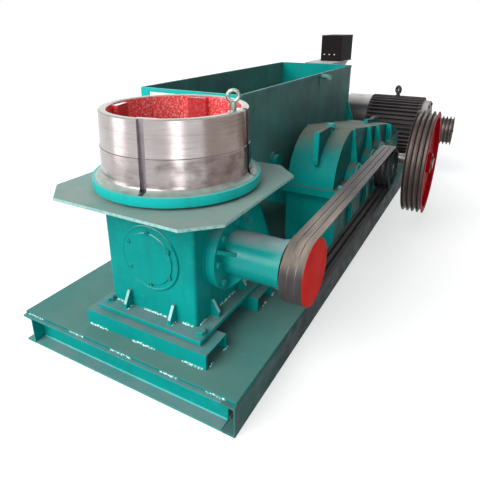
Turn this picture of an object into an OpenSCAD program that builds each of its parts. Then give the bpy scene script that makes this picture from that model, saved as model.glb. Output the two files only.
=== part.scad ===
// Wire drawing machine with a water tank, on a welded steel base.
// The upright drum stands on its own gear housing at the front. Behind it are the long tank, the
// gear case that drives both, and the motor. Three belts join the gear case to the drum housing.
// Origin: centre of the base on the floor. X runs across, Y from the drum to the motor, Z up.

/* [Base] */
// Length of the base
base_len = 3600; // [3560:10:4200]
// Width of the base
base_w = 1030; // [1020:10:1300]
// Height of the base channels
base_h = 126; // [100:2:200]
// Width of the flanges of a base channel
base_flange = 53; // [40:1:80]
// Thickness of the web of a base channel
base_web = 6; // [4:1:12]
// Thickness of the flanges of a base channel
base_lip = 9; // [6:1:14]
// Distance between the cross channels under the deck
cross_pitch = 900; // [600:10:1500]
// Thickness of the deck plate
deck_t = 12; // [8:1:20]
// Inset of the deck plate at the front and the rear
deck_inset = 15; // [4:1:30]
// Inset of the deck plate at the sides
deck_side = 2; // [1:1:20]

/* [Drum stand] */
// Place of the drum axis across the base
stand_x = 48; // [-60:1:80]
// Distance of the drum axis from the front of the base
stand_inset = 382; // [360:1:400]
// Length of the two plinth channels
plinth_len = 570; // [520:5:700]
// Width of a plinth channel
plinth_w = 140; // [120:2:160]
// Height of a plinth channel
plinth_h = 63; // [50:1:90]
// Thickness of the web of a plinth channel
plinth_web = 8; // [5:1:14]
// Thickness of the legs of a plinth channel
plinth_lip = 10; // [6:1:16]
// Distance between the two plinth channels, middle to middle
plinth_pitch = 395; // [300:5:420]
// How far the front plinth channel stands ahead of the foot plate
plinth_ahead = 28; // [5:1:40]
// Width of the foot plate
foot_w = 490; // [470:5:540]
// Depth of the foot plate
foot_d = 532; // [500:2:580]
// Thickness of the foot plate
foot_t = 18; // [12:1:30]
// Thickness of the shim under the foot plate
shim_t = 6; // [3:1:10]
// Shift of the foot plate and the plinth to the belt side
foot_shift = 16; // [0:1:20]
// Height of the gusset plates on the foot
gusset_h = 72; // [60:1:120]
// How far the gusset plates stand out on the foot
gusset_out = 40; // [25:1:45]
// Height of the upright nose of a gusset plate
gusset_nose = 20; // [8:1:40]
// Distance of the gusset plates from the drum axis
gusset_pitch = 107; // [80:1:150]
// Thickness of the gusset plates
gusset_t = 14; // [8:1:20]

/* [Drum housing] */
// Width of the drum housing
house_w = 410; // [390:1:420]
// Depth of the drum housing
house_d = 408; // [390:1:430]
// Height of the drum housing
house_h = 471; // [440:1:520]
// Radius of the housing's upright edges
house_round = 12; // [4:1:30]
// Height of the belt shaft above the floor
shaft_z = 459; // [440:1:480]
// Radius of the round cover on the front
cover_r = 126; // [100:1:150]
// Shift of the round cover to the belt side
cover_shift = 6; // [0:1:20]
// Thickness of the round cover
cover_t = 10; // [5:1:16]
// Width of the drip plate across its flats
plate_w = 740; // [700:5:800]
// Cut at each corner of the drip plate
plate_cut = 102; // [60:1:150]
// Thickness of the drip plate
plate_t = 12; // [8:1:20]

/* [Bearing tube] */
// Radius of the pad on the side of the housing
pad_r = 155; // [140:1:175]
// Thickness of the pad
pad_t = 6; // [4:1:16]
// Radius of the tube flange
flange_r = 150; // [130:1:155]
// Thickness of the tube flange
flange_t = 40; // [20:1:60]
// Number of ribs behind the tube flange
rib_n = 4; // [3:1:8]
// Turn of the first rib round the tube
rib_turn = 66; // [0:1:90]
// Length of a rib along the tube
rib_len = 52; // [40:1:110]
// Thickness of a rib
rib_t = 14; // [8:1:20]
// Radius of the bearing tube
tube_r = 90; // [70:1:100]
// Length of the bearing tube
tube_len = 222; // [200:1:260]
// Width of the ring on the end of the tube
tube_ring_w = 20; // [10:1:40]
// How far that ring stands out from the tube
tube_ring_out = 4; // [2:1:10]

/* [Drum] */
// Gap between the drip plate and the drum flange
drum_gap = 11; // [8:1:30]
// Radius of the drum flange
drum_flange_r = 318; // [305:1:340]
// Thickness of the drum flange
drum_flange_t = 34; // [20:1:40]
// Radius of the drum at its top
drum_r = 272; // [250:1:275]
// How much wider the drum is at its seam
drum_taper = 5; // [0:1:10]
// Step of the drum at its seam
drum_step = 2; // [1:1:6]
// How much wider the drum is at its foot than under the seam
drum_foot_taper = 2; // [0:1:6]
// Height of the seam above the flange
drum_seam = 117; // [60:1:180]
// Height of the drum above the flange
drum_h = 244; // [220:1:300]
// Thickness of the drum wall
drum_wall = 27; // [20:1:40]
// Radius of the fillet at the foot of the drum
drum_fillet = 25; // [10:1:30]
// Width of the four slots down the drum
slot_w = 25; // [15:1:40]
// Depth of the slots
slot_d = 12; // [6:1:14]
// Width of the bosses inside the drum, behind the slots
boss_w = 76; // [50:1:100]
// How far the bosses stand in from the wall
boss_in = 30; // [24:1:40]
// How far the bosses end under the drum's rim
boss_drop = 6; // [0:1:30]
// Turn of the first slot from the X axis
slot_turn = -77; // [-90:1:0]
// Radius of the drum shaft
drum_shaft_r = 50; // [30:1:60]
// Turn of the lifting eye from the middle of its boss
eye_turn = -4; // [-4:0.5:4]
// Turn of the lifting eye's ring from the X axis
eye_facing = 30; // [-90:1:90]
// Radius of the lifting eye's ring, to the middle of its bar
eye_r = 19; // [15:1:30]
// Radius of the bar of the lifting eye
eye_bar = 5.5; // [4:0.5:7]
// Height of the lifting eye's collar
eye_collar = 32; // [15:1:40]

/* [Belt drive] */
// Number of belts
belt_n = 3; // [2:1:3]
// Distance between belts
belt_pitch = 28; // [27:0.5:32]
// Width of a belt at its back
belt_w = 25; // [20:0.5:25.5]
// Thickness of a belt
belt_t = 16; // [10:0.5:18]
// Slope of a belt's sides
belt_slope = 18; // [16:0.5:20]
// Clearance between a belt and its groove
belt_gap = 0.5; // [0.3:0.1:1]
// Radius of the front pulley
front_r = 125; // [100:1:140]
// Radius of the output pulley
output_r = 125; // [100:1:140]
// Gap between the bearing tube and the front pulley
pulley_gap = 17; // [8:1:30]
// Radius of the belt shafts
shaft_r = 35; // [25:1:40]
// Running clearance of a shaft in its bore
run_gap = 0.05; // [0.03:0.01:0.1]
// Depth of the shafts in their bores
bore_depth = 60; // [40:1:90]

/* [Gear case] */
// Place of the middle of the gear case across the base
case_x = 328; // [322:1:332]
// Width of the gear case
case_w = 244; // [236:1:250]
// How much wider the lower case is on each side
case_grow = 12; // [4:1:14]
// Height of the joint between case and hood above the floor
case_z = 484; // [450:1:520]
// Place of the lower case's front along the base
case_front = -683; // [-700:1:-640]
// Length of the lower case
case_len = 1550; // [1400:10:1600]
// How far the joint flanges stand out
joint_out = 38; // [25:1:45]
// Thickness of each joint flange
joint_t = 20; // [12:1:30]
// Radius of the round front of the hood
hood_r = 272; // [240:1:290]
// Place of that round front's centre along the base
hood_y = -435; // [-445:1:-425]
// Place along the base where the roof turns down at the rear
roof_end_y = 520; // [480:1:640]
// Height of the roof there above the case joint
roof_end_h = 129; // [100:1:150]
// Radius of the bearing bosses
bearing_r = 98; // [80:1:104]
// Place of the first bearing along the base
bearing_y = -423; // [-440:1:-400]
// Place of the output shaft along the base
output_y = -113; // [-140:1:-100]
// Place of the input shaft along the base
input_y = 100; // [95:1:130]
// Thickness of a bearing cover
bearing_t = 14; // [8:1:24]
// Thickness of the ribs on the sides of the case
case_rib_t = 22; // [12:1:30]
// Radius of the breather plug's cap
breather_r = 26; // [15:1:40]

/* [Input pulley] */
// Radius of the input pulley
input_r = 308; // [280:1:325]
// Number of grooves on the input and motor pulleys
input_n = 4; // [3:1:4]
// Place of the middle of the input pulley across the base
input_x = 745; // [735:1:790]
// Thickness of the rim under the grooves
rim_t = 16; // [10:1:24]
// Thickness of a pulley's web
web_t = 14; // [8:1:20]
// Thickness of the front pulley's closed face over the shaft end
face_cap = 10; // [6:1:20]
// Radius of a pulley's hub
hub_r = 62; // [50:1:70]

/* [Tank] */
// Place of the middle of the tank across the base
tank_x = -194; // [-200:1:-190]
// Width of the tank
tank_w = 562; // [500:1:566]
// Place of the tank's front along the base
tank_front = -993; // [-1020:1:-980]
// Length of the tank
tank_len = 1707; // [1500:1:1740]
// Height of the top of the tank above the floor
tank_top = 980; // [900:1:1100]
// Depth of the tank
tank_h = 540; // [400:1:640]
// Thickness of the tank walls
tank_wall = 8; // [4:1:14]
// Width of the angle round the tank's edges
angle_w = 50; // [30:1:60]
// Height of the strip along the tank's rim
rim_h = 17; // [10:1:40]
// How far the strip and the angle stand out
rim_out = 6; // [4:1:12]
// Number of leg plates under the tank
leg_n = 3; // [2:1:4]
// Thickness of a leg plate
leg_t = 12; // [8:1:20]
// How far a leg plate spreads at its foot
leg_spread = 110; // [60:1:125]
// Place of the shaft gland along the base
gland_y = -640; // [-700:1:-600]
// Height of the shaft gland above the floor
gland_z = 592; // [560:1:640]
// Radius of the shaft gland
gland_r = 45; // [35:1:60]
// Place of the outlet pipe along the base
pipe_y = 45; // [0:5:400]
// Radius of the outlet pipe
pipe_r = 15; // [8:0.5:20]

/* [Control box] */
// Width of the control box
box_w = 165; // [120:1:250]
// Depth of the control box
box_d = 300; // [200:1:400]
// Height of the control box
box_h = 194; // [120:1:260]
// Place of the middle of the control box across the base
box_x = -134; // [-200:1:-100]
// Distance from the tank to the control box
box_back = 173; // [20:1:200]
// Thickness of the shelf
shelf_t = 8; // [5:1:14]
// Width of the shelf
shelf_w = 224; // [200:1:300]

/* [Motor] */
// Distance of the motor shaft from the rear of the base
motor_inset = 363; // [355:1:400]
// Height of the motor shaft above the floor
motor_z = 414; // [414:1:440]
// Place of the drive end of the motor body across the base
motor_end_x = 546; // [500:1:560]
// Length of the motor body
motor_len = 433; // [380:1:480]
// Radius over the cooling fins
motor_r = 262; // [240:1:266]
// Depth of the cooling fins
fin_d = 26; // [12:1:34]
// Thickness of a cooling fin
fin_t = 7; // [4:1:10]
// Number of cooling fins all round
fin_n = 44; // [24:2:52]
// Length of the fan cover
fan_len = 238; // [160:1:260]
// Length of the drive end shield
shield_len = 50; // [30:1:80]
// Distance of the motor feet from the shaft along the base
motor_foot_y = 160; // [140:1:180]
// Radius of the ring of the motor's lifting eye, to the middle of its bar
motor_eye_r = 26; // [20:1:35]
// Radius of the motor pulley
motor_pulley_r = 122; // [100:1:140]
// Radius of the motor shaft
motor_shaft_r = 32; // [20:1:40]
// Height of the rails under the motor
rail_h = 26; // [15:1:30]
// Width of a rail
rail_w = 70; // [50:1:90]
// Thickness of the motor feet
motor_foot_t = 34; // [20:1:40]

/* [Hidden] */
$fn = 96;
little = 0.1;
deck_z = base_h + deck_t;
stand_y = stand_inset - base_len / 2;
motor_y = base_len / 2 - motor_inset;
plinth_z = deck_z + plinth_h;
foot_z = plinth_z + shim_t;
house_z = foot_z + foot_t;
house_top = house_z + house_h;
foot_x = stand_x + foot_shift;
foot_front = stand_y - foot_d / 2;
cover_z = shaft_z + 4;
house_side = stand_x + house_w / 2;
house_front = stand_y - house_d / 2;
drum_z = house_top + plate_t + drum_gap;
drum_base = drum_z + drum_flange_t;
seam_r = drum_r + drum_taper;
drum_inner = drum_r - drum_wall;
flange_x = house_side + pad_t;
tube_x = flange_x + flange_t;
pulley_w = belt_n * belt_pitch;
front_x = tube_x + tube_len + pulley_gap + pulley_w / 2;
input_w = input_n * belt_pitch;
lower_w = case_w + 2 * case_grow;
case_side = case_x + case_w / 2;
plug_x = case_x + 17;
plug_y = hood_y - 48;
joint_side = case_side + joint_out;
joint_end = input_y + 380;
tank_bottom = tank_top - tank_h;
tank_side = tank_x + tank_w / 2;
tank_rear = tank_front + tank_len;
leg_h = tank_bottom - deck_z;
motor_rail_top = deck_z + rail_h;

module along_x() { rotate([0, 90, 0]) children(); }

module base_colour() { color([0.06, 0.55, 0.52]) children(); }

// Rolled channel section: its back on the Y axis, its flanges towards +X
module channel_section(h, w, web, lip) {
    tip = lip * 0.75;
    root = lip * 1.25;
    polygon([[0, -h / 2], [w, -h / 2], [w, tip - h / 2], [web, root - h / 2],
        [web, h / 2 - root], [w, h / 2 - tip], [w, h / 2], [0, h / 2]]);
}

// Base channel along Y, standing on the floor, its flanges towards +X
module base_channel(len) {
    translate([0, 0, base_h / 2]) rotate([90, 0, 0])
        linear_extrude(len, center = true) channel_section(base_h, base_flange, base_web, base_lip);
}

module base_left_channel() {
    base_colour() translate([base_flange - base_w / 2, 0, 0])
        mirror([1, 0, 0]) base_channel(base_len);
}

module base_right_channel() {
    base_colour() translate([base_w / 2, 0, 0])
        mirror([1, 0, 0]) base_channel(base_len);
}

module base_front_channel() {
    base_colour() translate([0, base_flange - base_len / 2, 0])
        rotate([0, 0, -90]) base_channel(base_w - 2 * base_flange);
}

module base_rear_channel() {
    base_colour() translate([0, base_len / 2 - base_flange, 0])
        rotate([0, 0, 90]) base_channel(base_w - 2 * base_flange);
}

// The cross channels stand with the middle one's lower flange over the origin
module base_cross_channels() {
    base_colour() for (k = [-1:1])
        translate([0, k * cross_pitch - base_flange / 2, 0])
            rotate([0, 0, 90]) base_channel(base_w - 2 * base_flange);
}

module deck_plate() {
    deck_w = base_w - 2 * deck_side;
    deck_len = base_len - 2 * deck_inset;
    base_colour() translate([-deck_w / 2, -deck_len / 2, base_h]) cube([deck_w, deck_len, deck_t]);
}

// Two channels laid across the deck with their legs down
module plinth_channels() {
    front_y = foot_front - plinth_ahead + plinth_w / 2;
    base_colour() for (y = [front_y, front_y + plinth_pitch])
        translate([foot_x, y, plinth_z]) rotate([90, 0, 90])
            linear_extrude(plinth_len, center = true) rotate(-90)
                channel_section(plinth_w, plinth_h, plinth_web, plinth_lip);
}

// Upright plate with its square corner at the origin, its slope going out along X
module gusset() {
    land = gusset_out / 4;
    rotate([90, 0, 0]) linear_extrude(gusset_t, center = true)
        polygon([[0, 0], [gusset_out, 0], [gusset_out, gusset_nose], [land, gusset_h], [0, gusset_h]]);
}

module housing_foot() {
    shim_inset = 12;
    base_colour() {
        translate([foot_x - foot_w / 2, foot_front, foot_z]) cube([foot_w, foot_d, foot_t]);
        translate([foot_x - foot_w / 2 + shim_inset, foot_front + shim_inset, plinth_z])
            cube([foot_w - 2 * shim_inset, foot_d - 2 * shim_inset, shim_t]);
        for (s = [-1, 1]) {
            translate([stand_x + s * gusset_pitch, house_front, house_z])
                rotate([0, 0, -90]) gusset();
            translate([stand_x + s * gusset_pitch, house_front + house_d, house_z])
                rotate([0, 0, 90]) gusset();
            translate([house_side, stand_y + s * gusset_pitch, house_z]) gusset();
        }
    }
}

// Block with upright rounded edges, centred on X and Y
module rounded_block(w, d, h, r) {
    translate([-w / 2 + r, -d / 2, 0]) cube([w - 2 * r, d, h]);
    translate([-w / 2, -d / 2 + r, 0]) cube([w, d - 2 * r, h]);
    for (x = [-1, 1], y = [-1, 1])
        translate([x * (w / 2 - r), y * (d / 2 - r), 0]) cylinder(r = r, h = h);
}

// Housing with a pad for the bearing tube and a bore for the drum shaft
module drum_housing() {
    base_colour() difference() {
        union() {
            translate([stand_x, stand_y, house_z])
                rounded_block(house_w, house_d, house_h, house_round);
            translate([house_side - house_round, stand_y, shaft_z]) along_x()
                cylinder(r = pad_r, h = pad_t + house_round);
        }
        translate([stand_x, stand_y, house_top - bore_depth])
            cylinder(r = drum_shaft_r + run_gap, h = bore_depth + 1);
    }
}

module housing_cover() {
    step_t = cover_t / 2;
    rim = 22;
    base_colour() translate([stand_x + cover_shift, house_front, cover_z]) rotate([90, 0, 0]) {
        cylinder(r = cover_r, h = step_t);
        cylinder(r = cover_r - rim, h = cover_t);
    }
}

// Round flange with ribs that run down to the tube
module tube_flange() {
    rib_h = flange_r - tube_r - 8;
    land = 6;
    base_colour() translate([flange_x, stand_y, shaft_z]) along_x() difference() {
        union() {
            cylinder(r = flange_r, h = flange_t);
            for (a = [0:360 / rib_n:359])
                rotate([0, 0, rib_turn + a]) translate([tube_r, 0, flange_t]) rotate([90, 0, 0])
                    linear_extrude(rib_t, center = true)
                        polygon([[-little, -little], [rib_h, -little], [rib_h, land],
                            [land, rib_len], [-little, rib_len]]);
        }
        translate([0, 0, flange_t]) cylinder(r = tube_r, h = rib_len + 1);
    }
}

module bearing_tube() {
    base_colour() translate([tube_x, stand_y, shaft_z]) along_x() difference() {
        union() {
            cylinder(r = tube_r, h = tube_len);
            translate([0, 0, tube_len - tube_ring_w])
                cylinder(r = tube_r + tube_ring_out, h = tube_ring_w);
        }
        translate([0, 0, tube_len - bore_depth])
            cylinder(r = shaft_r + run_gap, h = bore_depth + 1);
    }
}

// Eight-sided plate that catches the water under the drum
module drip_plate() {
    half = plate_w / 2;
    cut = half - plate_cut;
    hole_gap = 6;
    color([0.40, 0.47, 0.43]) translate([stand_x, stand_y, house_top]) difference() {
        linear_extrude(plate_t) polygon([[half, cut], [cut, half], [-cut, half], [-half, cut],
            [-half, -cut], [-cut, -half], [cut, -half], [half, -cut]]);
        translate([0, 0, -1]) cylinder(r = drum_shaft_r + hole_gap, h = plate_t + 2);
    }
}

// Flange disc of the drum with its hub below and the shaft that runs in the housing
module drum_flange() {
    hub_gap = 5;
    hub_out = drum_shaft_r + 60;
    color([0.05, 0.62, 0.60]) translate([stand_x, stand_y, 0]) {
        translate([0, 0, drum_z]) cylinder(r = drum_flange_r, h = drum_flange_t);
        translate([0, 0, drum_z - drum_gap + hub_gap]) cylinder(r = hub_out, h = drum_gap);
        translate([0, 0, house_top - bore_depth])
            cylinder(r = drum_shaft_r, h = drum_z - house_top + bore_depth);
    }
}

// Section of the drum wall: X is the radius, Y the height above the flange
module drum_section() {
    foot_r = seam_r + drum_step + drum_foot_taper;
    chamfer = 4;
    polygon([[drum_inner, 0], [foot_r, 0], [seam_r + drum_step, drum_seam - drum_step],
        [seam_r, drum_seam], [drum_r, drum_h - chamfer], [drum_r - chamfer, drum_h],
        [drum_inner + chamfer, drum_h], [drum_inner, drum_h - chamfer]]);
    difference() {
        translate([foot_r - 1, 0]) square([drum_fillet + 1, drum_fillet]);
        translate([foot_r + drum_fillet, drum_fillet + 1]) circle(r = drum_fillet);
    }
}

// Open drum with four slots for the coil lifter and a boss inside behind each slot
module drum() {
    boss_h = drum_h - boss_drop;
    slot_foot = 5;
    color([0.72, 0.70, 0.70]) translate([stand_x, stand_y, drum_base]) difference() {
        union() {
            rotate_extrude() drum_section();
            intersection() {
                cylinder(r = drum_inner + drum_wall / 2, h = boss_h);
                for (a = [0:90:270]) rotate([0, 0, slot_turn + a])
                    translate([drum_inner - boss_in, -boss_w / 2, 0])
                        cube([boss_in + drum_wall / 2, boss_w, boss_h]);
            }
        }
        for (a = [0:90:270]) rotate([0, 0, slot_turn + a])
            translate([drum_r - slot_d, -slot_w / 2, slot_foot])
                cube([slot_d + drum_fillet + drum_wall, slot_w, drum_h]);
    }
}

// Ring on a short collar: the collar's foot is on the origin
module lifting_eye(ring_r, bar_r, collar_h) {
    cylinder(r = bar_r * 2, h = collar_h);
    translate([0, 0, collar_h + ring_r]) rotate([90, 0, 0])
        rotate_extrude() translate([ring_r, 0]) circle(r = bar_r, $fn = 32);
}

module drum_eyebolt() {
    turn = slot_turn + 90 + eye_turn;
    place_r = drum_inner - boss_in / 2 - 1;
    color([0.80, 0.80, 0.78]) translate([stand_x, stand_y, drum_base + drum_h - boss_drop])
        rotate([0, 0, turn]) translate([place_r, 0, 0]) rotate([0, 0, eye_facing - turn])
            lifting_eye(eye_r, eye_bar, eye_collar);
}

// Half section of one belt groove: X is the radius outwards from the rim, Y is along the axle
module groove_section() {
    depth = belt_t + 5;
    top = belt_w / 2 + belt_gap;
    foot = top - depth * tan(belt_slope);
    polygon([[1, -top], [1, top], [0, top], [-depth, foot], [-depth, -foot], [0, -top]]);
}

// Grooved pulley on the X axis, centred, its web near the +X side, where a cap may close its bore
module grooved_pulley(r, n, bore, rim, web, face_in, cap = 0) {
    w = n * belt_pitch;
    groove_foot = r - belt_t - 5;
    inside = groove_foot - rim;
    along_x() rotate_extrude() difference() {
        union() {
            translate([bore, -w / 2]) square([r - bore, w]);
            if (cap > 0) translate([0, w / 2 - cap]) square([bore + 1, cap]);
        }
        for (k = [0:n - 1]) translate([r, (k - (n - 1) / 2) * belt_pitch]) groove_section();
        translate([hub_r, -w / 2 - 1]) square([inside - hub_r, w + 1 - web - face_in]);
        if (face_in > 0) translate([hub_r, w / 2 - face_in]) square([inside - hub_r, face_in + 1]);
    }
}

module front_pulley() {
    color([0.62, 0.12, 0.10]) translate([front_x, stand_y, shaft_z])
        grooved_pulley(front_r, belt_n, shaft_r, 10, web_t, 0, face_cap);
}

module front_shaft() {
    start = tube_x + tube_len - bore_depth;
    color([0.55, 0.55, 0.56]) translate([start, stand_y, shaft_z]) along_x()
        cylinder(r = shaft_r, h = front_x + pulley_w / 2 - face_cap - start);
}

module output_pulley() {
    color([0.20, 0.32, 0.33]) translate([front_x, output_y, case_z])
        grooved_pulley(output_r, belt_n, shaft_r, 10, web_t, 6);
}

// A shaft that starts inside the gear case and ends past its pulley
module case_shaft(y, end_x) {
    start = joint_side - bore_depth;
    color([0.55, 0.55, 0.56]) translate([start, y, case_z]) along_x()
        cylinder(r = shaft_r, h = end_x - start);
}

module output_shaft() { case_shaft(output_y, front_x + pulley_w / 2 + 6); }

module input_shaft() { case_shaft(input_y, input_x + input_w / 2 + 10); }

// Section of a belt: X is outwards from the back of the belt, Y is across it, slim is taken off all round
module belt_section(slim = 0) {
    outer = belt_w / 2 - slim;
    inner = belt_w / 2 - belt_t * tan(belt_slope) - slim;
    polygon([[-slim, -outer], [-slim, outer], [slim - belt_t, inner], [slim - belt_t, -inner]]);
}

// One closed belt between the front and the output pulley
module belt_loop() {
    dy = output_y - stand_y;
    dz = case_z - shaft_z;
    span = sqrt(dy * dy + dz * dz);
    tilt = atan2(dz, dy);
    lean = asin((output_r - front_r) / span);
    run = span * cos(lean);
    translate([0, stand_y, shaft_z]) {
        belt_wrap(front_r, tilt + 90 + lean, 180 - 2 * lean);
        rotate([tilt + lean, 0, 0]) belt_run(run);
        rotate([tilt - lean, 0, 0]) mirror([0, 0, 1]) belt_run(run);
    }
    translate([0, output_y, case_z]) belt_wrap(output_r, tilt - 90 - lean, 180 + 2 * lean);
}

module belt_wrap(r, start, turn) {
    rotate([0, 90, 0]) rotate([0, 0, start + 90])
        rotate_extrude(angle = turn) translate([r, 0]) belt_section();
}

// Straight run, a hair slimmer than the wraps so that its ends go into theirs
module belt_run(run) {
    translate([0, run + 1, 0]) rotate([90, 0, 0]) linear_extrude(run + 2)
        rotate(90) translate([front_r, 0]) belt_section(little / 2);
}

module drive_belts() {
    color([0.36, 0.33, 0.31]) for (k = [0:belt_n - 1])
        translate([front_x + (k - (belt_n - 1) / 2) * belt_pitch, 0, 0]) belt_loop();
}

// Bearing bosses on the belt side: the case keeps their lower halves, the hood their upper ones
module bearing_bosses() {
    for (y = [bearing_y, output_y, input_y])
        translate([case_side - 1, y, case_z]) along_x() cylinder(r = bearing_r, h = joint_out + 1);
}

// The two shafts' bores in the bosses
module bearing_bores() {
    for (y = [output_y, input_y])
        translate([joint_side - bore_depth, y, case_z]) along_x()
            cylinder(r = shaft_r + run_gap, h = bore_depth + 1);
}

// Upright ribs on both sides at the bearings, low_out wide up to low_h and top_out wide at h
module case_ribs(side, z, low_out, low_h, top_out, h) {
    last = input_y + 330;
    for (s = [-1, 1], y = [bearing_y, output_y, input_y, last])
        translate([case_x + s * side, y, z]) rotate([90, 0, 0]) mirror([s < 0 ? 1 : 0, 0, 0])
            linear_extrude(case_rib_t, center = true)
                polygon([[-1, 0], [low_out, 0], [low_out, low_h], [top_out, h], [-1, h]]);
}

// Flange that the case and the hood are bolted together by, from the front to behind the last rib
module joint_flange() {
    translate([case_x - case_w / 2 - joint_out, case_front - joint_out, 0])
        cube([case_w + 2 * joint_out, joint_end - case_front + joint_out, joint_t]);
}

module gear_case() {
    case_h = case_z - deck_z;
    foot_out = 28;
    foot_h = 24;
    rib_out = joint_out - case_grow - 6;
    case_rib_h = case_h - joint_t;
    base_colour() difference() {
        union() {
            translate([case_x - lower_w / 2, case_front, deck_z]) cube([lower_w, case_len, case_h]);
            translate([case_x - lower_w / 2 - foot_out, case_front - foot_out, deck_z])
                cube([lower_w + 2 * foot_out, case_len + 2 * foot_out, foot_h]);
            translate([0, 0, case_z - joint_t]) joint_flange();
            intersection() {
                bearing_bosses();
                translate([case_side - 2, case_front, case_z - case_h])
                    cube([joint_out + 4, case_len, case_h]);
            }
            case_ribs(lower_w / 2, deck_z, rib_out, foot_h, rib_out, case_rib_h);
        }
        bearing_bores();
    }
}

// Side outline of the hood above the joint: X is the place along the base, Y the height
module hood_outline(grow) {
    dist = norm([roof_end_y - hood_y, roof_end_h]);
    turn = atan2(roof_end_h, roof_end_y - hood_y) + acos(hood_r / dist);
    rear = case_front + case_len;
    intersection() {
        translate([hood_y, 0]) circle(r = hood_r + grow);
        translate([hood_y - hood_r - grow - 1, 0]) square([hood_r + grow + hood_r, hood_r + grow + 1]);
    }
    polygon([[hood_y, 0], [hood_y + (hood_r + grow) * cos(turn), (hood_r + grow) * sin(turn)],
        [roof_end_y, roof_end_h + grow], [rear, joint_t + grow], [rear, 0]]);
}

// Extrudes a side outline through the case, w wide and centred on the case
module through_case(w) {
    translate([case_x - w / 2, 0, case_z]) rotate([90, 0, 90]) linear_extrude(w) children();
}

// Stepped lug on the rear of the roof, seen from the side
module rear_lug() {
    start = roof_end_y - 267;
    high = roof_end_h + 65;
    polygon([[start, roof_end_h], [start, high], [start + 142, high - 23], [start + 211, high - 18],
        [roof_end_y + 55, high - 35], [roof_end_y + 55, roof_end_h - 30]]);
}

module gear_hood() {
    lug_t = 25;
    lug_x = 19;
    lug_front = hood_y - hood_r + 8;
    lug_top = hood_r + 25;
    lug_back = hood_y - 90;
    lug_foot = hood_r / 2;
    rib_top = 10;
    base_colour() difference() {
        union() {
            through_case(case_w) hood_outline(0);
            translate([0, 0, case_z]) joint_flange();
            intersection() {
                bearing_bosses();
                translate([case_side - 2, case_front, case_z]) cube([joint_out + 4, case_len, 400]);
            }
            intersection() {
                case_ribs(case_w / 2, case_z, joint_out - 1, bearing_r, rib_top, hood_r);
                through_case(case_w + 2 * joint_out) hood_outline(0);
            }
            translate([lug_x, 0, 0]) through_case(lug_t) difference() {
                polygon([[lug_front, lug_foot], [lug_front, lug_top], [lug_back, lug_top],
                    [lug_back, lug_foot]]);
                translate([hood_y, 0]) circle(r = hood_r - 5);
            }
            translate([lug_x, 0, 0]) through_case(lug_t) rear_lug();
            translate([plug_x, plug_y, case_z + hood_r - 20]) cylinder(r = 18, h = 26);
        }
        bearing_bores();
    }
}

module bearing_covers() {
    color([0.08, 0.45, 0.44]) for (y = [bearing_y, output_y, input_y])
        translate([joint_side, y, case_z]) along_x() difference() {
            cylinder(r = bearing_r - 6, h = bearing_t);
            if (y != bearing_y)
                translate([0, 0, -1]) cylinder(r = shaft_r + run_gap, h = bearing_t + 2);
        }
}

module breather_plug() {
    neck = 10;
    color([0.12, 0.50, 0.45]) translate([plug_x, plug_y, case_z + hood_r + 6]) {
        cylinder(r = breather_r / 2, h = neck);
        translate([0, 0, neck]) cylinder(r1 = breather_r, r2 = breather_r - 5, h = 14);
    }
}

module input_pulley() {
    color([0.50, 0.05, 0.08]) translate([input_x, input_y, case_z])
        grooved_pulley(input_r, input_n, shaft_r, rim_t, web_t, 24);
}

// A tank wall is a plate with a strip along its top edge and an angle at each end
module wall_plate(len, t) {
    h = tank_h - tank_wall;
    translate([-len / 2, 0, 0]) cube([len, t, h]);
    translate([-len / 2, -rim_out, h - rim_h]) cube([len, rim_out + little, rim_h]);
}

module end_angles(len) {
    h = tank_h - tank_wall;
    for (s = [-1, 1]) translate([s * (len / 2 - angle_w / 2) - angle_w / 2, -rim_out, 0])
        cube([angle_w, rim_out + little, h]);
}

module tank_front_wall() {
    base_colour() translate([tank_x, tank_front, tank_bottom + tank_wall]) {
        wall_plate(tank_w, tank_wall);
        end_angles(tank_w);
    }
}

module tank_rear_wall() {
    base_colour() translate([tank_x, tank_rear, tank_bottom + tank_wall]) rotate([0, 0, 180]) {
        wall_plate(tank_w, tank_wall);
        end_angles(tank_w);
    }
}

module side_wall() {
    wall_plate(tank_len - 2 * tank_wall, tank_wall);
}

module tank_left_wall() {
    base_colour() translate([tank_x - tank_w / 2, tank_front + tank_len / 2, tank_bottom + tank_wall])
        rotate([0, 0, -90]) side_wall();
}

// The right wall also carries an outlet pipe with a bend at its end and a plate under it
module tank_right_wall() {
    arm = pipe_r * 2.6;
    bend = pipe_r * 1.9;
    pad_w = pipe_r * 2.4;
    pad_h = pipe_r * 4;
    pipe_z = tank_top - pipe_r - 3;
    base_colour() {
        translate([tank_side, tank_front + tank_len / 2, tank_bottom + tank_wall])
            rotate([0, 0, 90]) side_wall();
        translate([tank_side - little, pipe_y, pipe_z]) along_x()
            cylinder(r = pipe_r - little / 2, h = arm + 1);
        translate([tank_side + arm, pipe_y, pipe_z - bend]) rotate([90, 0, 0])
            rotate([0, 0, 20]) rotate_extrude(angle = 70) translate([bend, 0]) circle(r = pipe_r);
        translate([tank_side - little, pipe_y - pad_w / 2, pipe_z - pad_h]) cube([rim_out, pad_w, pad_h]);
    }
}

module tank_floor() {
    base_colour() translate([tank_x - tank_w / 2, tank_front, tank_bottom])
        cube([tank_w, tank_len, tank_wall]);
}

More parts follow.
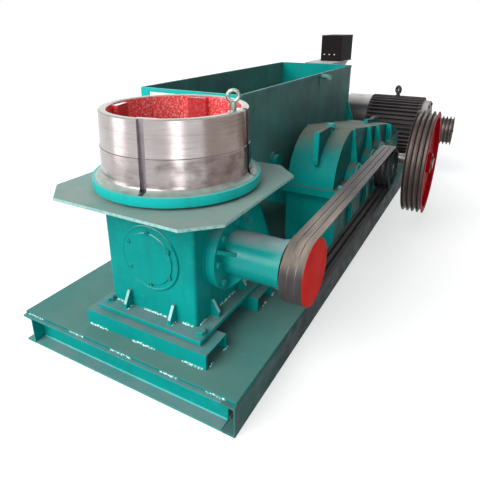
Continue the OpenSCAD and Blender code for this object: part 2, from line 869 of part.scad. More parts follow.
// Leg plates across the base, each wider at its foot on the belt side, and a prop at the rear end
module tank_legs() {
    left = 25 - tank_w / 2;
    right = tank_w / 2 - 38;
    inset = 240;
    first = tank_front + inset;
    pitch = (tank_len - 2 * inset) / (leg_n - 1);
    foot = right + leg_spread;
    side = tank_w / 2;
    base_colour() {
        for (k = [0:leg_n - 1]) translate([tank_x, first + k * pitch, deck_z]) rotate([90, 0, 0])
            linear_extrude(leg_t, center = true)
                polygon([[left, 0], [foot, 0], [right, leg_h], [left, leg_h]]);
        translate([tank_x, tank_rear - 2 * leg_t, deck_z]) rotate([90, 0, 0])
            linear_extrude(leg_t, center = true)
                polygon([[right, 0], [foot, 0], [side + 53, leg_h + 154], [side + 8, leg_h + 272],
                    [side, leg_h + 285], [side, leg_h], [right, leg_h]]);
    }
}

module shaft_gland() {
    base_colour() translate([tank_side, gland_y, gland_z]) along_x() {
        cylinder(r = gland_r, h = 14);
        cylinder(r = gland_r - 12, h = 38);
    }
}

module control_box() {
    color([0.17, 0.15, 0.15]) translate([box_x, tank_rear + box_back + box_d / 2, tank_top + shelf_t])
        rounded_block(box_w, box_d, box_h, 4);
}

// Shelf with two brackets that hang it on the tank's rear wall
module box_shelf() {
    len = box_back + box_d + 15;
    bracket_h = 220;
    color([0.62, 0.63, 0.62]) translate([box_x + box_w / 2 - shelf_w, tank_rear, tank_top]) {
        translate([0, -tank_wall, 0]) cube([shelf_w, len + tank_wall, shelf_t]);
        for (x = [20, shelf_w - 30]) translate([x, rim_out, 0]) rotate([90, 0, 90])
            linear_extrude(10) polygon([[0, little], [len - 40, little], [0, -bracket_h]]);
    }
}

module motor_at(x) { translate([x, motor_y, motor_z]) along_x() children(); }

// Ribbed motor body, flat below above its feet
module motor_body() {
    core_r = motor_r - fin_d;
    start = motor_end_x - motor_len;
    pad = 90;
    web_h = 60;
    color([0.16, 0.15, 0.16]) {
        intersection() {
            motor_at(start) union() {
                cylinder(r = core_r, h = motor_len);
                for (a = [0:360 / fin_n:359]) rotate([0, 0, a])
                    translate([core_r - 4, -fin_t / 2, 0]) cube([fin_d + 4, fin_t, motor_len]);
                for (x = [0, motor_len - 24]) translate([0, 0, x]) cylinder(r = core_r + 10, h = 24);
            }
            translate([start - 1, motor_y - 300, motor_rail_top + 8]) cube([motor_len + 2, 600, 600]);
        }
        for (s = [-1, 1], x = [start + 30, motor_end_x - 30 - pad]) {
            translate([x, motor_y + s * motor_foot_y - pad / 2, motor_rail_top])
                cube([pad, pad, motor_foot_t]);
            translate([x + pad / 3, motor_y + s * motor_foot_y - pad / 8, motor_rail_top + motor_foot_t - 1])
                cube([pad / 3, pad / 4, web_h]);
        }
    }
}

module motor_fan_cover() {
    r = motor_r - fin_d + 18;
    color([0.48, 0.49, 0.50]) motor_at(motor_end_x - motor_len - fan_len) {
        translate([0, 0, 30]) cylinder(r = r, h = fan_len - 30);
        cylinder(r1 = r - 30, r2 = r, h = 30);
    }
}

module motor_shield() {
    r = motor_r - fin_d;
    color([0.55, 0.56, 0.57]) motor_at(motor_end_x) difference() {
        union() {
            cylinder(r = r, h = shield_len);
            translate([0, 0, shield_len]) cylinder(r1 = r - 40, r2 = r - 110, h = 14);
        }
        translate([0, 0, -1]) cylinder(r = motor_shaft_r + run_gap, h = shield_len + 20);
    }
}

// Two rails across under the feet, so that the motor slides to tighten its belts
module motor_rails() {
    rail_len = 2 * motor_foot_y + 100;
    color([0.10, 0.42, 0.42]) for (x = [motor_end_x - motor_len + 40, motor_end_x - 110])
        translate([x, motor_y - rail_len / 2, deck_z]) cube([rail_w, rail_len, rail_h]);
}

module motor_eyebolt() {
    bar = 9;
    collar = 29;
    middle = motor_end_x - motor_len / 2 - 9;
    color([0.14, 0.13, 0.14]) translate([middle, motor_y, motor_z + motor_r])
        lifting_eye(motor_eye_r, bar, collar);
}

module motor_pulley() {
    color([0.30, 0.30, 0.31]) translate([input_x, motor_y, motor_z])
        grooved_pulley(motor_pulley_r, input_n, motor_shaft_r, 8, web_t, 8);
}

module motor_shaft() {
    color([0.55, 0.55, 0.56]) motor_at(motor_end_x)
        cylinder(r = motor_shaft_r, h = input_x + input_w / 2 - motor_end_x);
}

base_left_channel();
base_right_channel();
base_front_channel();
base_rear_channel();
base_cross_channels();
deck_plate();
plinth_channels();
housing_foot();
drum_housing();
housing_cover();
tube_flange();
bearing_tube();
drip_plate();
drum_flange();
drum();
drum_eyebolt();
front_pulley();
front_shaft();
drive_belts();
output_pulley();
output_shaft();
gear_case();
gear_hood();
bearing_covers();
breather_plug();
input_pulley();
input_shaft();
tank_front_wall();
tank_rear_wall();
tank_left_wall();
tank_right_wall();
tank_floor();
tank_legs();
shaft_gland();
control_box();
box_shelf();
motor_body();
motor_fan_cover();
motor_shield();
motor_rails();
motor_eyebolt();
motor_pulley();
motor_shaft();
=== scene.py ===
"""Looks of the wire drawing machine: paint, steel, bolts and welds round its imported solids.

The frame is the machine's own, in metres: the origin is the middle of the base on the floor,
X goes to the belt side, Y from the drum to the motor and Z up.
"""
import math
import random

import bmesh
import bpy
from mathutils import Matrix, Vector


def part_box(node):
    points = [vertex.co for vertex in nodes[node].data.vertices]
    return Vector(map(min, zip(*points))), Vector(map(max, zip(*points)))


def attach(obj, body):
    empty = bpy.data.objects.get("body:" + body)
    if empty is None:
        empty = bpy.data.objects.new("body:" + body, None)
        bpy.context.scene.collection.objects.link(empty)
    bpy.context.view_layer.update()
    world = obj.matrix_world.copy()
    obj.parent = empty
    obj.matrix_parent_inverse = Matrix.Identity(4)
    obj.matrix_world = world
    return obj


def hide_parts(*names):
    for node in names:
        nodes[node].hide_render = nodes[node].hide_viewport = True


MM = 0.001
ACROSS = 0
ALONG = 1
UPWARD = 2
UP = Vector((0, 0, 1))
FRONT = Vector((0, -1, 0))
RIGHT = Vector((1, 0, 0))

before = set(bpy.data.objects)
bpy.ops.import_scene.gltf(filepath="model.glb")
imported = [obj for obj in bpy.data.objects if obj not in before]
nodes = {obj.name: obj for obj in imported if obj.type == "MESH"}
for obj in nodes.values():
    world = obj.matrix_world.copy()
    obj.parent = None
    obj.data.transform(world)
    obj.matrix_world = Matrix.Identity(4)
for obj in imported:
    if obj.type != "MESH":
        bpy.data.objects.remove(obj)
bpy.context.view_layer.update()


def middle(node):
    """Centre of a node's box."""
    low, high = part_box(node)
    return (low + high) / 2


# Camera and room

CAMERA_PLACE = (1.0645, -2.753, 1.280)
CAMERA_TILT = 68.93
CAMERA_TURN = 29.10
CAMERA_LENS = 33.87
CAMERA_SHIFT = -0.0917
WHITE = (1, 1, 1, 1)
ROOM_LIGHT = 0.34
CARD_X = 1.7
CARD_TOP = 2.6
FLOOR_HALF = 40
FLOOR_LIFT = 0.6
SHADOW_EDGE = 0.06


def make_camera():
    data = bpy.data.cameras.new("camera")
    data.lens = CAMERA_LENS
    data.shift_y = CAMERA_SHIFT
    data.clip_end = 100
    camera = bpy.data.objects.new("camera", data)
    camera.location = CAMERA_PLACE
    camera.rotation_euler = (math.radians(CAMERA_TILT), 0, math.radians(CAMERA_TURN))
    bpy.context.collection.objects.link(camera)
    bpy.context.scene.camera = camera


def linear(hex_colour):
    """Linear RGBA of an sRGB hex colour such as 0AA8A4."""
    parts = [int(hex_colour[i:i + 2], 16) / 255 for i in (0, 2, 4)]
    return [c / 12.92 if c <= 0.04045 else ((c + 0.055) / 1.055) ** 2.4 for c in parts] + [1.0]


def feed(tree, node, inputs):
    """Sets a node's inputs, by name or number, to numbers or colours, or links them to sockets."""
    for key, value in inputs.items():
        if isinstance(value, bpy.types.NodeSocket):
            tree.links.new(value, node.inputs[key])
        else:
            node.inputs[key].default_value = value


def add_node(tree, kind, settings=None, inputs=None):
    """Adds a node with its properties and its inputs."""
    node = tree.nodes.new(kind)
    for name, value in (settings or {}).items():
        setattr(node, name, value)
    feed(tree, node, inputs or {})
    return node


def where_all(tree, *masks):
    """How much of a spot every mask covers, each from 0 to 1."""
    covered = masks[0]
    for mask in masks[1:]:
        shared = add_node(tree, "ShaderNodeMath", {"operation": "MULTIPLY"}, {0: covered, 1: mask})
        covered = shared.outputs[0]
    return covered


def where_any(tree, *masks):
    """How much of a spot the strongest mask covers."""
    covered = masks[0]
    for mask in masks[1:]:
        stronger = add_node(tree, "ShaderNodeMath", {"operation": "MAXIMUM"}, {0: covered, 1: mask})
        covered = stronger.outputs[0]
    return covered


def seen_by_eye(tree):
    """1 for what the camera sees directly, in a reflection or through glass."""
    path = add_node(tree, "ShaderNodeLightPath").outputs
    return where_any(tree, path["Is Camera Ray"], path["Is Glossy Ray"], path["Is Transmission Ray"])


def bare_material(name):
    """A new material and its emptied node tree."""
    material = bpy.data.materials.new(name)
    material.use_nodes = True
    material.node_tree.nodes.clear()
    return material, material.node_tree


def make_world():
    """Soft even room light; camera, metal and glass see the white of the studio."""
    world = bpy.data.worlds.new("room")
    world.use_nodes = True
    tree = world.node_tree
    tree.nodes.clear()
    light = add_node(tree, "ShaderNodeBackground", {}, {"Color": linear("E4EEF2"), "Strength": ROOM_LIGHT})
    seen = add_node(tree, "ShaderNodeBackground", {}, {"Color": WHITE, "Strength": 1.0})
    both = add_node(tree, "ShaderNodeMixShader", {}, {
        0: seen_by_eye(tree), 1: light.outputs[0], 2: seen.outputs[0]})
    add_node(tree, "ShaderNodeOutputWorld", {}, {"Surface": both.outputs[0]})
    bpy.context.scene.world = world


def hang_lamp(name, data, colour):
    """Puts a lamp in the room, unseen by the camera."""
    data.color = linear(colour)[:3]
    lamp = bpy.data.objects.new(name, data)
    lamp.visible_camera = False
    bpy.context.collection.objects.link(lamp)
    return lamp


def sun(name, direction, energy, angle, colour):
    data = bpy.data.lights.new(name, "SUN")
    data.energy = energy
    data.angle = math.radians(angle)
    lamp = hang_lamp(name, data, colour)
    lamp.rotation_euler = (-Vector(direction)).to_track_quat("-Z", "Y").to_euler()


def strip_light(name, azimuth, distance, wide, high, power):
    """Upright softbox standing on the floor round the drum, which mirrors it as a bright band."""
    data = bpy.data.lights.new(name, "AREA")
    data.shape = "RECTANGLE"
    data.size = wide
    data.size_y = high
    data.energy = power
    lamp = hang_lamp(name, data, "FFFFFF")
    turn = math.radians(azimuth)
    lamp.location = middle("drum") + Vector((math.cos(turn), math.sin(turn), 0)) * distance
    lamp.location.z = high / 2 + 20 * MM
    lamp.rotation_euler = (math.radians(90), 0, turn + math.radians(90))


def stage_sheet(name, corners, material):
    """A flat sheet of the room, which isn't part of the machine."""
    mesh = bpy.data.meshes.new(name)
    mesh.from_pydata(corners, [], [(0, 1, 2, 3)])
    mesh.materials.append(material)
    sheet = bpy.data.objects.new(name, mesh)
    bpy.context.collection.objects.link(sheet)
    return sheet


def make_card(name, start_y, end_y, colour):
    """Warm grey card along the belt side that only polished surfaces mirror."""
    material, tree = bare_material("matt card " + colour)
    grey = add_node(tree, "ShaderNodeEmission", {}, {"Color": linear(colour), "Strength": 1.0})
    add_node(tree, "ShaderNodeOutputMaterial", {}, {"Surface": grey.outputs[0]})
    corners = [(CARD_X, y, z) for y, z in ((start_y, 0), (end_y, 0), (end_y, CARD_TOP), (start_y, CARD_TOP))]
    card = stage_sheet(name, corners, material)
    for ray in ("camera", "diffuse", "shadow", "transmission"):
        setattr(card, "visible_" + ray, False)


def make_floor():
    """Pale floor that keeps the machine's shadow, with a painted shadow under the base where its glow is
    left off; it throws back little light on the machine.
    """
    material, tree = bare_material("pale studio floor")
    grey = add_node(tree, "ShaderNodeBsdfDiffuse", {}, {"Color": linear("9C9C9C")})
    pale = add_node(tree, "ShaderNodeBsdfDiffuse", {}, {"Color": linear("C8C8C8")})
    place = add_node(tree, "ShaderNodeTexCoord").outputs["Object"]
    from_middle = add_node(tree, "ShaderNodeVectorMath", {"operation": "ABSOLUTE"}, {0: place})
    parts = add_node(tree, "ShaderNodeSeparateXYZ", {}, {0: from_middle.outputs[0]})
    base_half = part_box("deck_plate")[1]
    # No glow over the base's footprint: the floor there is painted darker as a shadow under the machine
    outside = []
    for axis in (ACROSS, ALONG):
        outside.append(add_node(tree, "ShaderNodeMapRange", {}, {
            0: parts.outputs[axis], 1: base_half[axis] - SHADOW_EDGE, 2: base_half[axis],
            4: FLOOR_LIFT}).outputs[0])
    lift = add_node(tree, "ShaderNodeEmission", {}, {"Color": WHITE, "Strength": where_any(tree, *outside)})
    bright = add_node(tree, "ShaderNodeAddShader", {}, {0: pale.outputs[0], 1: lift.outputs[0]})
    surface = add_node(tree, "ShaderNodeMixShader", {}, {
        0: seen_by_eye(tree), 1: grey.outputs[0], 2: bright.outputs[0]})
    add_node(tree, "ShaderNodeOutputMaterial", {}, {"Surface": surface.outputs[0]})
    half = FLOOR_HALF
    stage_sheet("floor", [(-half, -half, 0), (half, -half, 0), (half, half, 0), (-half, half, 0)], material)


def make_room():
    make_world()
    sun("window_light", (-0.3, -0.87, 0.62), 2.9, 50, "FFFDFA")
    sun("back_fill", (-0.5, 0.8, 0.45), 0.9, 60, "F6FAFF")
    strip_light("left_softbox", -140, 3.2, 1.2, 2.4, 16)
    strip_light("camera_softbox", -52.7, 3.0, 0.8, 2.2, 14)
    make_card("near_card", -1.9, 0.5, "C2B7B0")
    make_card("far_card", 0.5, 3.4, "94897F")
    make_floor()


# Sizes of patterns in millimetres. Each is finer on the real machine, as its note says, and is
# drawn as coarse as it needs to be to show.

BRUSH_MARKS = 9  # a brush leaves marks about 1 mm apart
TOOL_RINGS = 1.6  # a finishing cut leaves rings about 0.3 mm apart
WIRE_MARKS = 7  # drawn wire is 2 to 6 mm thick
CAST_SPECKLE = 7  # rough cast iron glitters in points of about 2 mm
BELT_WEAVE = 9  # threads of a belt's jacket lie about 1 mm apart
SAND_GRAIN = 3.5  # moulding sand leaves grains of about 0.5 mm
PLATED_GRAIN = 2.5  # plating leaves grains of about 0.1 mm

# Edges between the drum's finishes, as radii in metres, and the turn of its slots in degrees

DRUM_PAINT_EDGE = 0.2462
DRUM_RING_EDGE = 0.2842
SLOT_TURN = -77
SLOT_FLOOR = 0.2602
SLOT_MOUTH = 0.268
EDGE_SOFT = 0.8 * MM


# Finishes

def start_material(name):
    """A new material with its node tree, its surface shader and the machine's coordinates in metres."""
    material, tree = bare_material(name)
    shader = add_node(tree, "ShaderNodeBsdfPrincipled")
    add_node(tree, "ShaderNodeOutputMaterial", {}, {"Surface": shader.outputs[0]})
    place = add_node(tree, "ShaderNodeTexCoord").outputs["Object"]
    return material, tree, shader, place


def dress(tree, shader, relief, strength, depth_mm, inputs):
    """Feeds a finish to its shader, with its relief raised by up to depth_mm."""
    raised = add_node(tree, "ShaderNodeBump", {}, {
        "Height": relief, "Strength": strength, "Distance": depth_mm * MM})
    feed(tree, shader, {"Normal": raised.outputs[0], **inputs})


def coats(tree, colour, *layers):
    """Lays coats over a colour, each one a mask and a colour, hex or socket, with the last on top."""
    if isinstance(colour, str):
        colour = linear(colour)
    for mask, coat in layers:
        if isinstance(coat, str):
            coat = linear(coat)
        blend = add_node(tree, "ShaderNodeMix", {"data_type": "RGBA"}, {0: mask, 6: colour, 7: coat})
        colour = blend.outputs[2]
    return colour


def patches(tree, place, size_mm, detail, low=0.35, high=0.65, stretch=(1, 1, 1)):
    """A field from 0 to 1 with patches about size_mm wide, longer along an axis with a low stretch."""
    scaled = add_node(tree, "ShaderNodeMapping", {}, {0: place, 3: stretch})
    field = add_node(tree, "ShaderNodeTexNoise", {}, {
        "Vector": scaled.outputs[0], "Scale": 1000 / size_mm, "Detail": detail})
    return add_node(tree, "ShaderNodeMapRange", {}, {0: field.outputs[0], 1: low, 2: high}).outputs[0]


def facing(tree, axis, start, full):
    """1 on faces that look along an axis of the machine, or 0 on them where full is under start."""
    normal = add_node(tree, "ShaderNodeNewGeometry").outputs["Normal"]
    parts = add_node(tree, "ShaderNodeSeparateXYZ", {}, {0: normal})
    return add_node(tree, "ShaderNodeMapRange", {}, {0: parts.outputs[axis], 1: start, 2: full}).outputs[0]


def masked_off(tree, value, edge, soft=EDGE_SOFT):
    """0 under the edge of a masked coat and 1 over it, or the other way round with soft under 0."""
    return add_node(tree, "ShaderNodeMapRange", {}, {0: value, 1: edge - soft, 2: edge + soft}).outputs[0]


def distance_from_axis(tree, place, centre, axis):
    """Distance in metres from a line along axis through centre."""
    moved = add_node(tree, "ShaderNodeVectorMath", {"operation": "SUBTRACT"}, {0: place, 1: centre})
    flat = [0 if i == axis else 1 for i in range(3)]
    beside = add_node(tree, "ShaderNodeVectorMath", {"operation": "MULTIPLY"}, {
        0: moved.outputs[0], 1: flat})
    return add_node(tree, "ShaderNodeVectorMath", {"operation": "LENGTH"}, {0: beside.outputs[0]}).outputs[1]


def machine_enamel(name, paint, deep, dust, dust_amount=0.75, grime=0.25, roughness=0.30, belt_dirt_and_shade=0.0,
                   edge_highlight=None, film=0.0, dust_from=0.55, gloss=0.07, dust_patch=120):
    """Brushed-on alkyd enamel over cast and welded steel: glossy, a little uneven from the brush,
    dusty on every face that looks up, and dark on the belt side from belt soot together with
    painted shade of the faces turned from the light."""
    material, tree, shader, place = start_material(name)
    uneven = patches(tree, place, 260, 5, 0.3, 0.7, (1, 1, 1.6))
    streaks = patches(tree, place, 45, 6, 0.52, 0.80, (1, 1, 0.12))
    scuffs = patches(tree, place, 22, 8, 0.60, 0.74)
    # A near-white top colour, as on the cover, makes this top coat a painted highlight
    dusty = where_all(tree, facing(tree, UPWARD, dust_from, 0.97),
                      patches(tree, place, dust_patch, 8, 0.05, 0.62), dust_amount)
    layers = [(uneven, deep), (where_all(tree, streaks, grime), "23504D"),
              (where_all(tree, scuffs, 0.12), "6FB9B2")]
    if film:
        oily = where_all(tree, facing(tree, UPWARD, 0.12, 0.85),
                         patches(tree, place, 190, 6, 0.1, 0.5), film)
        layers.append((oily, "3B4345"))
    layers.append((dusty, dust))
    # The belt side is darkened by belt soot and by painted shade of the faces turned from the light
    if belt_dirt_and_shade:
        along = add_node(tree, "ShaderNodeSeparateXYZ", {}, {0: place}).outputs[ALONG]
        near_belts = add_node(tree, "ShaderNodeMapRange", {}, {
            0: along, 1: -1.75, 2: -1.15, 3: 0.45 * belt_dirt_and_shade, 4: belt_dirt_and_shade}).outputs[0]
        soot_and_shade = where_all(tree, facing(tree, ACROSS, 0.35, 0.9),
                          patches(tree, place, 160, 6, 0.05, 0.5, (1, 0.4, 1)), near_belts)
        layers.append((soot_and_shade, "23292C"))
    # Faces that don't look up get a pale coat: a painted highlight on the edges
    if edge_highlight:
        upright = facing(tree, UPWARD, 0.7, 0.3)
        layers.append((where_all(tree, upright, patches(tree, place, 16, 6, 0.15, 0.55)), edge_highlight))
    dulled = add_node(tree, "ShaderNodeMapRange", {}, {0: dusty, 3: roughness, 4: 0.62})
    smudged = add_node(tree, "ShaderNodeMath", {"operation": "MULTIPLY_ADD"}, {
        0: patches(tree, place, 60, 5), 1: 0.16, 2: dulled.outputs[0]})
    dress(tree, shader, patches(tree, place, BRUSH_MARKS, 6, 0.2, 0.8, (1, 1, 0.35)), 0.35, 0.5, {
        "Base Color": coats(tree, paint, *layers), "Roughness": smudged.outputs[0],
        "Specular IOR Level": gloss})
    return material


def bead_finish():
    """Enamel over the ripples of hand-laid welds: glossy, with pale painted glints in small spots."""
    material, tree, shader, place = start_material("teal enamel over weld ripples")
    painted_glints = patches(tree, place, 7, 3, 0.46, 0.56)
    dress(tree, shader, patches(tree, place, 5, 3, 0.3, 0.7), 0.6, 1.0, {
        "Base Color": coats(tree, "129A94", (painted_glints, "D9F2EE")), "Roughness": 0.2})
    return material


def turned_steel(tree, place, axis, colours):
    """Turned steel: fine rings from the tool, clouded by handling. Returns its colour, rings and clouds."""
    stretch = [0.04, 0.04, 0.04]
    stretch[axis] = 1
    rings = patches(tree, place, TOOL_RINGS, 3, 0.2, 0.8, stretch)
    clouds = patches(tree, place, 90, 6, 0.3, 0.75)
    colour = coats(tree, colours[0], (clouds, colours[1]), (where_all(tree, rings, 0.35), colours[2]))
    return colour, rings, clouds


def slot_lines(tree, place, centre, half_width):
    """1 on the lines along which the drum's slots run out over its foot ring."""
    moved = add_node(tree, "ShaderNodeVectorMath", {"operation": "SUBTRACT"}, {0: place, 1: centre})
    turned = add_node(tree, "ShaderNodeMapping", {}, {
        0: moved.outputs[0], 2: (0, 0, math.radians(-SLOT_TURN))})
    sides = add_node(tree, "ShaderNodeVectorMath", {"operation": "ABSOLUTE"}, {0: turned.outputs[0]})
    parts = add_node(tree, "ShaderNodeSeparateXYZ", {}, {0: sides.outputs[0]})
    nearest = add_node(tree, "ShaderNodeMath", {"operation": "MINIMUM"}, {
        0: parts.outputs[ACROSS], 1: parts.outputs[ALONG]})
    return masked_off(tree, nearest.outputs[0], half_width, -EDGE_SOFT)


def drum_finish():
    """Hard steel drum, turned and then polished by the wire outside. Its foot ring is old enamel under
    dust, and inside it is rough cast and brushed with red oxide enamel, with pale painted glints."""
    material, tree, shader, place = start_material("polished drum steel with red enamel inside")
    low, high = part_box("drum")
    centre = middle("drum")
    steel, rings, clouds = turned_steel(tree, place, UPWARD, ("CBC3C3", "B0A7A7", "8C8280"))
    radius = distance_from_axis(tree, place, centre, UPWARD)
    parts = add_node(tree, "ShaderNodeSeparateXYZ", {}, {0: place})
    height = parts.outputs[UPWARD]

    # Outside: wire marks, a darker band under the seam with smears, stronger towards the belt side as
    # painted shade of that side, and the seam
    wire_marks = patches(tree, place, WIRE_MARKS, 6, 0.5, 0.8, (0.05, 0.05, 1))
    under_seam = add_node(tree, "ShaderNodeMapRange", {}, {
        0: height, 1: low.z + 122 * MM, 2: low.z + 105 * MM}).outputs[0]
    belt_side = add_node(tree, "ShaderNodeMapRange", {}, {
        0: parts.outputs[ACROSS], 1: centre.x - 0.10, 2: centre.x + 0.10, 3: 0.15, 4: 0.5}).outputs[0]
    smears_and_shade = where_all(tree, patches(tree, place, 60, 9, 0.42, 0.62, (1, 1, 1.6)), under_seam, belt_side)
    seam = add_node(tree, "ShaderNodeMath", {"operation": "COMPARE"}, {
        0: height, 1: low.z + 116.5 * MM, 2: 1.4 * MM}).outputs[0]
    on_ring = masked_off(tree, radius, DRUM_RING_EDGE)
    ring = coats(tree, "9AA8A0", (patches(tree, place, 40, 7, 0.3, 0.7), "7C8B85"),
                 (slot_lines(tree, place, centre, 9 * MM), "2E2B2E"))
    near_top = masked_off(tree, height, high.z - 3 * MM)
    on_rim = where_all(tree, near_top, facing(tree, UPWARD, 0.5, 0.9))
    outside = coats(tree, steel, (where_all(tree, wire_marks, 0.3), "6A605E"),
                    (where_all(tree, under_seam, 0.16), "5E5250"), (smears_and_shade, "57494A"),
                    (where_all(tree, seam, 0.7), "55504E"), (on_ring, ring), (on_rim, "8B8B80"))

    # Inside: brushed red with pale painted glints, deeper on the four bosses
    grain_and_glints = patches(tree, place, CAST_SPECKLE, 6, 0.48, 0.72)
    brushed = patches(tree, place, 60, 5, stretch=(1, 1, 0.5))
    on_bosses = where_all(tree, slot_lines(tree, place, centre, 38 * MM), 0.75)
    red = coats(tree, "FF4A4C", (brushed, "E8343A"), (where_all(tree, grain_and_glints, 0.95), "FFD2CF"),
                (on_bosses, "B01B20"))

    boss_top = where_all(tree, masked_off(tree, height, high.z - 7 * MM), facing(tree, UPWARD, 0.6, 0.9))
    bare = where_any(tree, masked_off(tree, radius, DRUM_PAINT_EDGE), boss_top, near_top)
    off_ring = masked_off(tree, radius, DRUM_RING_EDGE, -EDGE_SOFT)
    handled = add_node(tree, "ShaderNodeMapRange", {}, {0: on_rim, 3: 1.0, 4: 0.25}).outputs[0]
    metal = where_all(tree, bare, off_ring, handled)
    polish = add_node(tree, "ShaderNodeMath", {"operation": "MULTIPLY_ADD"}, {0: clouds, 1: 0.10, 2: 0.17})
    rough = add_node(tree, "ShaderNodeMapRange", {}, {0: metal, 3: 0.38, 4: polish.outputs[0]})
    dress(tree, shader, coats(tree, grain_and_glints, (bare, rings)), 0.3, 0.2, {
        "Base Color": coats(tree, red, (bare, outside)), "Metallic": metal, "Roughness": rough.outputs[0]})
    return material


def slot_finish():
    """Milled slots gone dark with drawing soap and grease."""
    material, tree, shader, place = start_material("greasy milled steel")
    smear = patches(tree, place, 30, 6, stretch=(1, 1, 0.3))
    feed(tree, shader, {
        "Base Color": coats(tree, "A89FA6", (smear, "857C82")), "Metallic": 0.2, "Roughness": 0.5})
    return material


def pulley_finish(name, node, rim_mm, face, face_deep, groove):
    """Cast iron pulley: enamel on its face, bare turned grooves that the belts have polished."""
    material, tree, shader, place = start_material(name)
    low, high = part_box(node)
    iron, _, clouds = turned_steel(tree, place, ACROSS, groove)
    uneven = patches(tree, place, 70, 7, 0.3, 0.75)
    chips = where_all(tree, patches(tree, place, 10, 8, 0.68, 0.78), 0.35)
    paint = coats(tree, face, (uneven, face_deep), (chips, "5E5450"))
    across = add_node(tree, "ShaderNodeSeparateXYZ", {}, {0: place}).outputs[ACROSS]
    behind_face = masked_off(tree, across, high.x - 1.1 * MM, -0.4 * MM)
    radius = distance_from_axis(tree, place, middle(node), ACROSS)
    in_grooves = masked_off(tree, radius, (high.z - low.z) / 2 - rim_mm * MM)
    bare = where_all(tree, in_grooves, behind_face)
    rough = add_node(tree, "ShaderNodeMapRange", {}, {0: clouds, 3: 0.36, 4: 0.52})
    dress(tree, shader, uneven, 0.3, 0.4, {
        "Base Color": coats(tree, paint, (bare, iron)), "Metallic": where_all(tree, bare, 0.6),
        "Roughness": rough.outputs[0], "Specular IOR Level": 0.015})
    return material


def belt_rubber():
    """Wrapped V-belt: a worn fabric jacket over rubber, pale on the upper run near the drum from dust
    and a painted sheen, and with dark sides."""
    material, tree, shader, place = start_material("fabric-wrapped belt rubber")
    weave = add_node(tree, "ShaderNodeTexWave", {"wave_type": "BANDS", "bands_direction": "DIAGONAL"}, {
        "Vector": place, "Scale": 1000 / BELT_WEAVE, "Distortion": 2.0, "Detail": 3}).outputs["Fac"]
    worn = patches(tree, place, 120, 7, 0.3, 0.7, (3, 1, 1))
    spot = add_node(tree, "ShaderNodeSeparateXYZ", {}, {0: place})
    upper_run = masked_off(tree, spot.outputs[UPWARD], 0.5, 30 * MM)
    near_drum = add_node(tree, "ShaderNodeMapRange", {}, {
        0: spot.outputs[ALONG], 1: -1.18, 2: -0.92, 3: 1.0, 4: 0.22}).outputs[0]
    # Dust and a painted sheen on the top of the upper run
    dusty = where_all(tree, facing(tree, UPWARD, 0.2, 0.8), upper_run, near_drum,
                      patches(tree, place, 90, 7, 0.2, 0.68, (3, 0.3, 1)), 0.85)
    normal = add_node(tree, "ShaderNodeNewGeometry").outputs["Normal"]
    parts = add_node(tree, "ShaderNodeSeparateXYZ", {}, {0: normal})
    sideways = add_node(tree, "ShaderNodeMath", {"operation": "ABSOLUTE"}, {0: parts.outputs[ACROSS]})
    on_side = add_node(tree, "ShaderNodeMapRange", {}, {0: sideways.outputs[0], 1: 0.3, 2: 0.7}).outputs[0]
    colour = coats(tree, "4C484A", (worn, "383436"), (dusty, "B6A799"),
                   (where_all(tree, weave, 0.25), "4A4442"), (on_side, "26221F"))
    dress(tree, shader, weave, 0.4, 0.5, {
        "Base Color": colour, "Roughness": 0.42, "Specular IOR Level": 0.1})
    return material


def plain_steel(name, bright, dull, metallic=1.0, roughness=0.32, patch_mm=25):
    """Turned or plated steel with a light cloud of handling marks."""
    material, tree, shader, place = start_material(name)
    clouds = patches(tree, place, patch_mm, 6, 0.3, 0.75)
    rough = add_node(tree, "ShaderNodeMapRange", {}, {0: clouds, 3: roughness, 4: roughness + 0.18})
    dress(tree, shader, patches(tree, place, PLATED_GRAIN, 4, 0.2, 0.8), 0.15, 0.2, {
        "Base Color": coats(tree, bright, (clouds, dull)), "Metallic": metallic,
        "Roughness": rough.outputs[0]})
    return material


def sprayed_enamel(name, paint, deep, dust, dust_amount, roughness=0.42, dust_from=0.25, gloss=0.3,
                   dust_gaps=0.1):
    """Factory spray enamel on a casting or a sheet: an even film over a fine cast grain, dusty on top.
    A near-white top colour, as on the fan cover, is a painted sheen.
    """
    material, tree, shader, place = start_material(name)
    uneven = patches(tree, place, 150, 5, 0.3, 0.7)
    dust_and_sheen = where_all(tree, facing(tree, UPWARD, dust_from, 0.97),
                        patches(tree, place, 70, 7, dust_gaps, 0.6))
    colour = coats(tree, paint, (uneven, deep), (where_all(tree, dust_and_sheen, dust_amount), dust))
    rough = add_node(tree, "ShaderNodeMapRange", {}, {0: dust_and_sheen, 3: roughness, 4: 0.7})
    dress(tree, shader, patches(tree, place, SAND_GRAIN, 5, 0.2, 0.8), 0.3, 0.35, {
        "Base Color": colour, "Roughness": rough.outputs[0], "Specular IOR Level": gloss})
    return material


def white_sheet():
    """Bare white-lacquered aluminium plate, a little yellowed."""
    material, tree, shader, place = start_material("white lacquered aluminium")
    aged = patches(tree, place, 60, 5)
    feed(tree, shader, {"Base Color": coats(tree, "F7F7F3", (aged, "E9E8E0")), "Roughness": 0.35})
    return material


# Most of the machine: clear teal on its sides, greyer where dust lies
teal = machine_enamel("teal alkyd enamel", "089D99", "088F8B", "7C9092", 0.85)
# Lighter, as painted light on lit glossy edges: the rim under the drum and the tank's front edge
teal_lit = machine_enamel("teal enamel lightened as painted light", "1EC4BF", "18B7B1", "8FC9C4")
# Nearly white on faces that look up, as a painted highlight along the cover's upper edge
teal_cover = machine_enamel("teal enamel with painted highlight on top", "089D99", "088F8B", "E6F5F3", 1.0)
